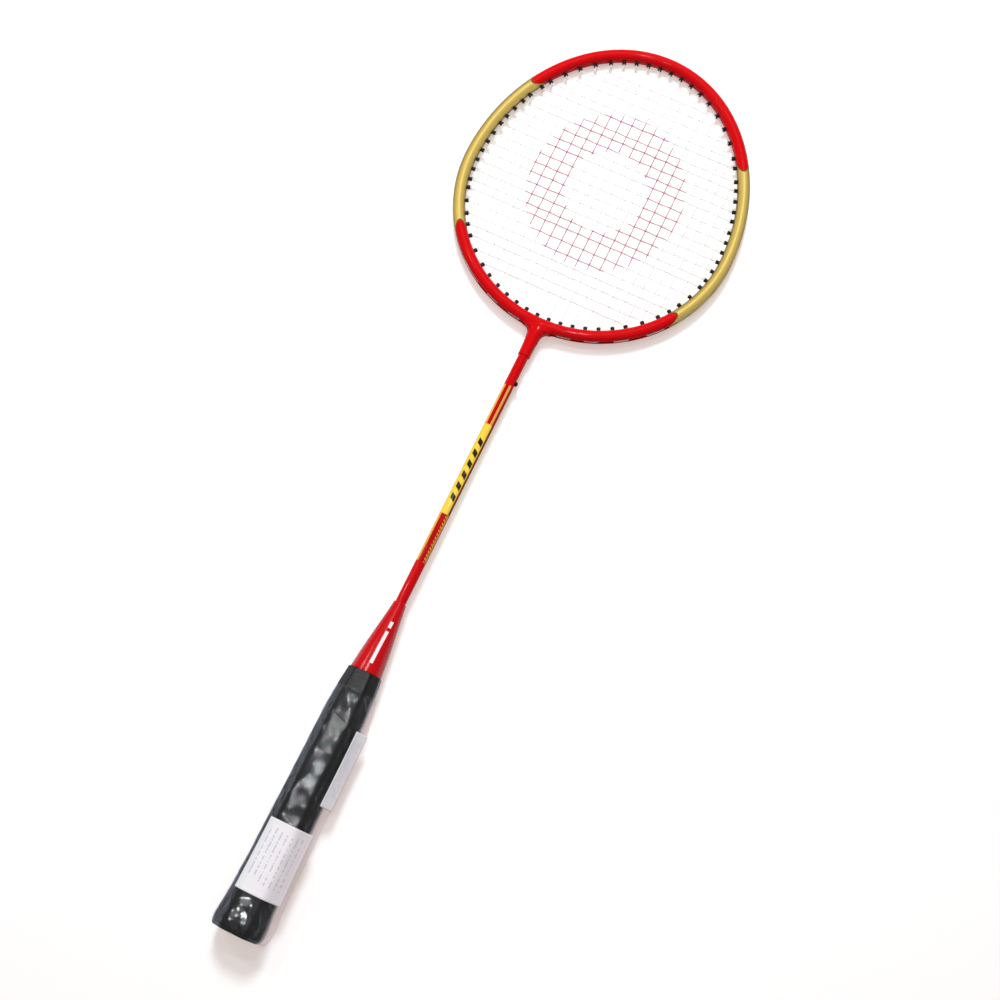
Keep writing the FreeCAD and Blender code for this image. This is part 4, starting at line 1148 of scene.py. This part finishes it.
def grip_ring(distance, growth, columns, relief=None):
    """A ring of points round the grip, grown outward; relief adds to each point's radius."""
    turns = 2 * np.pi * np.arange(columns) / columns
    half_width, half_depth = grip_size(distance)
    radius = octagon_radius(turns, half_width + growth, half_depth + growth)
    if relief is not None:
        radius = radius + relief(turns, distance)
    ring = np.stack([radius * np.cos(turns), np.full(columns, distance), radius * np.sin(turns)], axis=1)
    return [Vector(point) for point in ring]


def lap_relief(turns, distance):
    """Height of the spiral turns of tape: a step at each lap's edge that fades to the next."""
    share = (distance / sizes().lap_pitch - turns / (2 * np.pi)) % 1.0
    edge = 0.035
    rise = np.clip(share / edge, 0, 1)
    eased = rise * rise * (3 - 2 * rise)
    return sizes().lap_height * (eased * (1 - share) - 0.5)


def sleeve(name, first, last, growth, thickness, rows, columns, material, relief):
    """A closed sleeve over part of the grip, its outside shaped by the relief."""
    outer = []
    inner = []
    for k in range(rows + 1):
        distance = first + (last - first) * k / rows
        near_end = min(k, rows - k)
        inset = {0: 0.30 * thickness, 1: 0.06 * thickness}.get(near_end, 0.0)
        outer.append(grip_ring(distance, growth - inset, columns, relief))
        inner.append(grip_ring(distance, growth - thickness, columns))
    rings = outer + inner[::-1]
    points = [point for ring in rings for point in ring]
    return make_piece(name, points, ring_faces(len(rings), columns, closed=True), material, sharp=40)


def build_grip(material):
    low, high = box("grip_tape")
    last = high.y - 0.02 * MM
    piece = sleeve("grip_wrap", low.y, last, 0.0, 1.2 * MM, 440, 160, material, lap_relief)
    return stand_for(piece, "grip_leather", "grip_tape")


def crease_relief(turns, distance):
    """Slight stretch marks in the closing tape, and the step of its own end."""
    waves = 0.05 * MM * np.sin(5 * turns + distance * 900) * np.sin(distance * 1400)
    step = 0.12 * MM * ((turns / (2 * np.pi) + distance * 4) % 1.0 < 0.15)
    return waves + step


def build_closing_tape(material):
    low, high = box("closing_tape")
    piece = sleeve("closing_band", low.y, high.y, 0.33 * MM, 0.25 * MM, 60, 160, material, crease_relief)
    return stand_for(piece, "closing_vinyl", "closing_tape")


def staple_dent(x, z):
    """Depth of the dent that each staple's crown presses into the cap."""
    half_wire, deepest, spread = 0.45 * MM, 0.75 * MM, 0.75 * MM
    low, high = box("butt_staples")
    over = max(abs(x) - (high.x - half_wire), 0.0)
    nearest = min(math.hypot(over, z - side) for side in (low.z + half_wire, high.z - half_wire))
    return deepest * math.exp(-(nearest / spread) ** 2)


def build_cap(material):
    """The butt cap: soft octagon, rounded edge, a shallow ring and dents for the staples."""
    low, high = box("butt_cap")
    columns = 128
    rim = grip_ring(high.y, -0.02 * MM, columns)
    rings = [rim]
    edge = 1.6 * MM
    wall_end = high.y - 0.3 * MM
    for k in range(7):
        turn = k / 6 * math.pi / 2
        inset = edge * (1 - math.cos(turn))
        distance = wall_end - (wall_end - low.y) * math.sin(turn)
        shrinks = [1 - inset / point.xz.length for point in rim]
        rings.append([Vector((p.x * shrink, distance, p.z * shrink)) for p, shrink in zip(rim, shrinks)])
    face = rings[-1]
    for k in range(1, 48):
        share = 1 - k / 48
        ring = []
        for point in face:
            x, z = point.x * share, point.z * share
            radius = math.hypot(x, z)
            groove = 0.28 * MM * math.exp(-((radius - 10.2 * MM) / (0.45 * MM)) ** 2)
            ring.append(Vector((x, low.y + groove + staple_dent(x, z), z)))
        rings.append(ring)
    points = [point for ring in rings for point in ring]
    piece = make_piece("butt_cap_moulding", points, capped_faces(len(rings), columns), material, sharp=50)
    return stand_for(piece, "cap_vinyl", "butt_cap")


# ---------------------------------------------------------------- film and labels

def resampled(corners, count):
    """Evenly spaced points along a polyline, as an array."""
    corners = np.array(corners)
    reach = np.concatenate([[0], np.cumsum(np.linalg.norm(np.diff(corners, axis=0), axis=1))])
    along = np.linspace(0, reach[-1], count)
    return np.stack([np.interp(along, reach, corners[:, axis]) for axis in range(corners.shape[1])], axis=1)


def eased_line(line, rounds):
    """A polyline with its corners softened and its ends kept."""
    for _ in range(rounds):
        middle = (line[:-2] + 2 * line[1:-1] + line[2:]) / 4
        line = np.concatenate([line[:1], middle, line[-1:]])
    return line


def film_outside(distance, growth, count):
    """The sleeve's outer outline as (x, z), from its fin's tip over the top, round, and back to the tip."""
    half_width, half_depth = grip_size(distance)
    fin = half_width + sizes().fin_reach * fin_share(distance)
    half_width, half_depth = half_width + growth, half_depth + growth
    cut = CORNER_RATIO * 2 * half_depth
    x, z = half_width - cut, half_depth - cut
    tip = (fin, FIN_DROOP)
    corners = [tip, (half_width, z), (x, half_depth), (-x, half_depth), (-half_width, z),
               (-half_width, -z), (-x, -half_depth), (x, -half_depth), (half_width, -z), tip]
    return eased_line(resampled(corners, count + 1), 26)[:-1]


def fin_share(distance):
    """How far the fin stands out: full along the grip, less towards the sleeve's mouth and its top."""
    top = box("grip_film")[1].y
    return float(np.interp(distance, (0.0, 12 * MM, 0.85 * top, top), (0.75, 1.0, 1.0, 0.45)))


def film_crease(x, distance, z):
    """How far the film stands off at a point: broad puckers and sharper slanted creases."""
    broad = noise.noise(Vector((x * 60, distance * 42, z * 60)))
    slanted = noise.noise(Vector((x * 130 + distance * 95, distance * 60 - x * 40, z * 120 + 7.3)))
    ridge = 1 - abs(slanted) * 2.2
    fine = noise.noise(Vector((x * 330, distance * 160, z * 330 + 3.1)))
    lift = 0.32 * max(broad + 0.25, 0) + 0.22 * max(ridge, 0) ** 3 + 0.05 * (fine + 0.6)
    return lift * MM


def build_film(material):
    """The clear sleeve: it lies on the grip, puckers, and stands out in a pressed fin on the right."""
    low, high = box("grip_film")
    rows, count = 330, 240
    first = low.y - 1.6 * MM
    outer, inner = [], []
    for k in range(rows + 1):
        distance = first + (high.y + 1.0 * MM - first) * k / rows
        station = min(max(distance, low.y), high.y)
        section = film_outside(station, 0.30 * MM, count)
        tangent = np.roll(section, -1, axis=0) - np.roll(section, 1, axis=0)
        tangent /= np.linalg.norm(tangent, axis=1)[:, None] + 1e-12
        beyond = max(low.y - distance, 0.0) / (low.y - first)
        pinch = 1 - 0.06 * beyond
        lifts = np.array([film_crease(x, distance, z) for x, z in section])[:, None]
        normal = np.stack([tangent[:, 1], -tangent[:, 0]], axis=1)
        raised = (section + normal * lifts) * pinch
        wall = (section + normal * (lifts - sizes().film_thickness)) * pinch
        wall[:, 0] = np.minimum(wall[:, 0], (grip_size(station)[0] + 0.5 * MM) * pinch)
        outer += [Vector((x, distance, z)) for x, z in raised]
        inner += [Vector((x, distance, z)) for x, z in wall]
    faces = ring_faces(rows + 1, count)
    back = len(outer)
    faces += [tuple(back + corner for corner in reversed(face)) for face in faces]
    for row in (0, rows):
        for column in range(count):
            near, far = row * count + column, row * count + (column + 1) % count
            rim = (near, far, back + far, back + near)
            faces.append(rim if row else (far, near, back + near, back + far))
    piece = make_piece("film_sleeve", outer + inner, faces, material, sharp=80)
    piece.visible_shadow = False
    return stand_for(piece, "film_clear", "grip_film")


def build_label(name, rows, material, node):
    """A paper sheet through rows of points, with a map from 0 to 1 across and along it."""
    count = len(rows[0])
    points = [point for row in rows for point in row]
    faces = []
    for row in range(len(rows) - 1):
        for column in range(count - 1):
            corner = row * count + column
            faces.append((corner, corner + 1, corner + count + 1, corner + count))
    piece = make_piece(name, points, faces, material, sharp=60)
    layer = piece.data.uv_layers.new(name="sheet")
    for loop in piece.data.loops:
        row, column = divmod(loop.vertex_index, count)
        layer.data[loop.index].uv = (column / (count - 1), row / (len(rows) - 1))
    solid = piece.modifiers.new("thickness", "SOLIDIFY")
    solid.thickness = sizes().label_thickness
    solid.offset = 1.0
    return stand_for(piece, "label_paper", node)


def build_front_label(material):
    """A paper label over the top of the grip near the butt, its free edges lifted a little."""
    low, high = box("front_label")
    rows = []
    for k in range(61):
        distance = low.y + (high.y - low.y) * k / 60
        half_width, half_depth = grip_size(distance)
        half_width += sizes().label_gap
        half_depth += sizes().label_gap
        cut = CORNER_RATIO * 2 * half_depth
        x, z = half_width - cut, half_depth - cut
        reach = sizes().label_reach
        corners = [(-(x + cut / 2), half_depth - cut / 2), (-x, half_depth),
                   (x, half_depth), (half_width + reach, z - reach)]
        line = eased_line(resampled(corners, 72), 34)
        row = []
        for column, (across, up) in enumerate(line):
            edge = max(0.0, 1 - column / 7) ** 2 * 0.35 + max(0.0, (column - 62) / 9) ** 2 * 0.5
            ends = max(0.0, 1 - min(k, 60 - k) / 5) ** 2 * 0.25
            wave = 0.10 * noise.noise(Vector((across * 150, distance * 90, 5.0)))
            row.append(Vector((across, distance, up + (edge + ends + wave) * MM)))
        rows.append(row)
    return build_label("front_label_sheet", rows, material, "front_label")


def build_side_label(material):
    """A narrow paper strip along the sleeve's right side, slightly bowed."""
    low, high = box("side_label")
    start = Vector((low.x + 0.1 * MM, 0, high.z))
    end = Vector((high.x, 0, low.z + 0.1 * MM))
    outward = Vector((1, 0, 1)).normalized()
    rows = []
    for k in range(61):
        distance = low.y + (high.y - low.y) * k / 60
        row = []
        for column in range(17):
            share = column / 16
            bow = 0.35 * (2 * share - 1) ** 2 + 0.25 * math.sin(3.1 * k / 60 + 2.2 * share)
            wave = 0.12 * noise.noise(Vector((share * 3, distance * 110, 9.0)))
            point = start.lerp(end, share) + outward * ((bow + wave) * MM)
            row.append(Vector((point.x, distance, point.z)))
        rows.append(row)
    return build_label("side_label_strip", rows, material, "side_label")


# ---------------------------------------------------------------- stage

def floor_normal():
    """The racket rests on the film at its butt and on the hoop's tip, so the floor slopes to its axis."""
    rise = (box("head_frame")[0].z - box("grip_film")[0].z) / (box("head_frame")[1].y - 10 * MM)
    return Vector((0, -rise, 1)).normalized()


def build_floor():
    """A large plain pale floor with a soft sheen, white where it is well lit."""
    rest = Vector((0, 5.5 * MM, box("grip_film")[0].z))
    turned_up = floor_normal().to_track_quat("Z", "Y").to_matrix().to_4x4()
    mesh = bpy.data.meshes.new("floor")
    corners = [(x * FLOOR_HALF, y * FLOOR_HALF, 0) for x, y in ((-1, -1), (1, -1), (1, 1), (-1, 1))]
    mesh.from_pydata(corners, [], [(0, 1, 2, 3)])
    floor = bpy.data.objects.new("floor", mesh)
    floor.matrix_world = Matrix.Translation(rest) @ turned_up
    bpy.context.scene.collection.objects.link(floor)

    finish = Finish("floor_board", rough=0.25, specular=0.25)
    finish.set("Base Color", colours().floor)
    rays = finish.node("LightPath").outputs
    mirrored = finish.times(rays["Is Glossy Ray"], 0.35)
    seen = finish.either(rays["Is Camera Ray"], mirrored, rays["Is Transmission Ray"])
    finish.set("Emission Color", colours().floor_glow)
    finish.set("Emission Strength", seen)
    mesh.materials.append(finish.material)


def build_backdrop():
    """White to the camera, and for light a dim surround with a brighter patch straight above."""
    world = bpy.data.worlds.new("studio")
    bpy.context.scene.world = world
    world.use_nodes = True
    nodes, links = world.node_tree.nodes, world.node_tree.links
    direction = nodes.new("ShaderNodeTexCoord").outputs["Generated"]
    parts = nodes.new("ShaderNodeSeparateXYZ")
    links.new(direction, parts.inputs[0])

    def fade(start, end, below, above):
        made = nodes.new("ShaderNodeMapRange")
        made.interpolation_type = "SMOOTHSTEP"
        for name, value in (("From Min", start), ("From Max", end), ("To Min", below), ("To Max", above)):
            made.inputs[name].default_value = value
        links.new(parts.outputs[2], made.inputs["Value"])
        return made.outputs[0]

    def brighter(first, second):
        made = nodes.new("ShaderNodeMath")
        made.operation = "MAXIMUM"
        links.new(first, made.inputs[0])
        links.new(second, made.inputs[1])
        return made.outputs[0]

    rays = nodes.new("ShaderNodeLightPath").outputs
    walls = brighter(fade(0.05, 0.30, 0.22, 0.08), fade(0.90, 0.97, 0.0, 0.22))
    background = nodes["Background"]
    background.inputs["Color"].default_value = (1, 1, 1, 1)
    links.new(brighter(walls, rays["Is Camera Ray"]), background.inputs["Strength"])


def add_lamp(name, place, aim, size, power, mirrored):
    """A round lamp at a place, aimed at a point; mirrored lamps show in glossy surfaces."""
    data = bpy.data.lights.new(name, "AREA")
    data.shape = "DISK"
    data.size = size
    data.energy = power
    lamp = bpy.data.objects.new(name, data)
    lamp.location = place
    lamp.rotation_euler = (Vector(aim) - Vector(place)).to_track_quat("-Z", "Y").to_euler()
    lamp.visible_glossy = mirrored
    bpy.context.scene.collection.objects.link(lamp)


def build_lamps():
    """Two soft lamps light the racket; three small ones and a panel show in its lacquer and film."""
    add_lamp("soft_key", (-0.35, 1.25, 1.50), MIDDLE_AIM, 0.45, 25.0, False)
    add_lamp("soft_fill", (0.45, -0.35, 1.60), MIDDLE_AIM, 1.2, 5.0, False)
    add_lamp("spark_left", (-0.60, 0.42, 0.85), HEAD_AIM, 0.07, 1.2, True)
    add_lamp("spark_above", (-0.02, 0.62, 1.30), HEAD_AIM, 0.07, 1.8, True)
    add_lamp("spark_near", (-0.17, 0.19, 1.35), GRIP_AIM, 0.05, 0.9, True)
    add_lamp("soft_panel", (-0.19, 1.22, 1.33), HEAD_AIM, 0.70, 1.4, True)


def build_camera():
    """A camera above the racket, to the right of the handle."""
    scene = bpy.context.scene
    data = bpy.data.cameras.new("camera")
    data.sensor_width = CAMERA_SENSOR
    data.lens = CAMERA_LENS
    camera = bpy.data.objects.new("camera", data)
    forward = Vector(CAMERA_VIEW).normalized()
    right = forward.cross(floor_normal()).normalized()
    up = right.cross(forward)
    turned_to = Matrix((right, up, -forward)).transposed().to_4x4()
    camera.matrix_world = Matrix.Translation(CAMERA_PLACE) @ turned_to
    scene.collection.objects.link(camera)
    scene.camera = camera
    scene.view_settings.view_transform = "Standard"


# ---------------------------------------------------------------- operators and panel

class RACKET_OT_stage(bpy.types.Operator):
    """Build the floor, the backdrop, the lamps and the camera"""
    bl_idname = "racket.stage"
    bl_label = "Stage"

    def execute(self, context):
        build_floor()
        build_backdrop()
        build_lamps()
        build_camera()
        return {"FINISHED"}


class RACKET_OT_head(bpy.types.Operator):
    """Build the hoop's tube and the T-joint"""
    bl_idname = "racket.head"
    bl_label = "Hoop and T-joint"

    def execute(self, context):
        build_hoop(hoop_paint())
        build_joint(joint_paint())
        return {"FINISHED"}


class RACKET_OT_shaft(bpy.types.Operator):
    """Finish the shaft, and build the cone and the stem's pin"""
    bl_idname = "racket.shaft"
    bl_label = "Shaft, cone and pin"

    def execute(self, context):
        coat("shaft", shaft_paint())
        build_cone(cone_plastic())
        build_pin(pin_black())
        return {"FINISHED"}


class RACKET_OT_strings(bpy.types.Operator):
    """Build the two woven strings and their knots"""
    bl_idname = "racket.strings"
    bl_label = "Strings and knots"

    def execute(self, context):
        material = string_nylon()
        build_strings(material)
        build_knots(material)
        return {"FINISHED"}


class RACKET_OT_grommets(bpy.types.Operator):
    """Build the grommets, one group for each stretch of the hoop"""
    bl_idname = "racket.grommets"
    bl_label = "Grommets"

    def execute(self, context):
        build_grommets(grommet_nylon())
        return {"FINISHED"}


class RACKET_OT_handle(bpy.types.Operator):
    """Build the wrapped handle: tape, closing tape and cap, and finish the wood and the staples"""
    bl_idname = "racket.handle"
    bl_label = "Handle"

    def execute(self, context):
        coat("handle", handle_wood())
        coat("butt_staples", staple_steel())
        build_grip(grip_leather())
        build_closing_tape(black_vinyl("closing_vinyl"))
        build_cap(black_vinyl("cap_vinyl"))
        return {"FINISHED"}


class RACKET_OT_wrapping(bpy.types.Operator):
    """Build the clear film sleeve and the two paper labels"""
    bl_idname = "racket.wrapping"
    bl_label = "Film and labels"

    def execute(self, context):
        build_film(clear_film())
        paper = label_paper()
        build_front_label(paper)
        build_side_label(paper)
        return {"FINISHED"}


class RACKET_PT_build(bpy.types.Panel):
    """The racket's builders"""
    bl_label = "Badminton racket"
    bl_space_type = "VIEW_3D"
    bl_region_type = "UI"
    bl_category = "Racket"

    def draw(self, context):
        for operator in OPERATORS:
            self.layout.operator(operator.bl_idname)


OPERATORS = (RACKET_OT_stage, RACKET_OT_head, RACKET_OT_shaft, RACKET_OT_strings, RACKET_OT_grommets,
             RACKET_OT_handle, RACKET_OT_wrapping)
CLASSES = (RacketSizes, RacketColours, *OPERATORS, RACKET_PT_build)


def register():
    for cls in CLASSES:
        bpy.utils.register_class(cls)
    bpy.types.Scene.racket_sizes = PointerProperty(type=RacketSizes)
    bpy.types.Scene.racket_colours = PointerProperty(type=RacketColours)


def unregister():
    del bpy.types.Scene.racket_colours
    del bpy.types.Scene.racket_sizes
    for cls in reversed(CLASSES):
        bpy.utils.unregister_class(cls)


def main():
    register()
    bpy.ops.racket.stage()
    bpy.ops.racket.head()
    bpy.ops.racket.shaft()
    bpy.ops.racket.strings()
    bpy.ops.racket.grommets()
    bpy.ops.racket.handle()
    bpy.ops.racket.wrapping()
    bpy.context.view_layer.update()


if __name__ == "__main__":
    main()
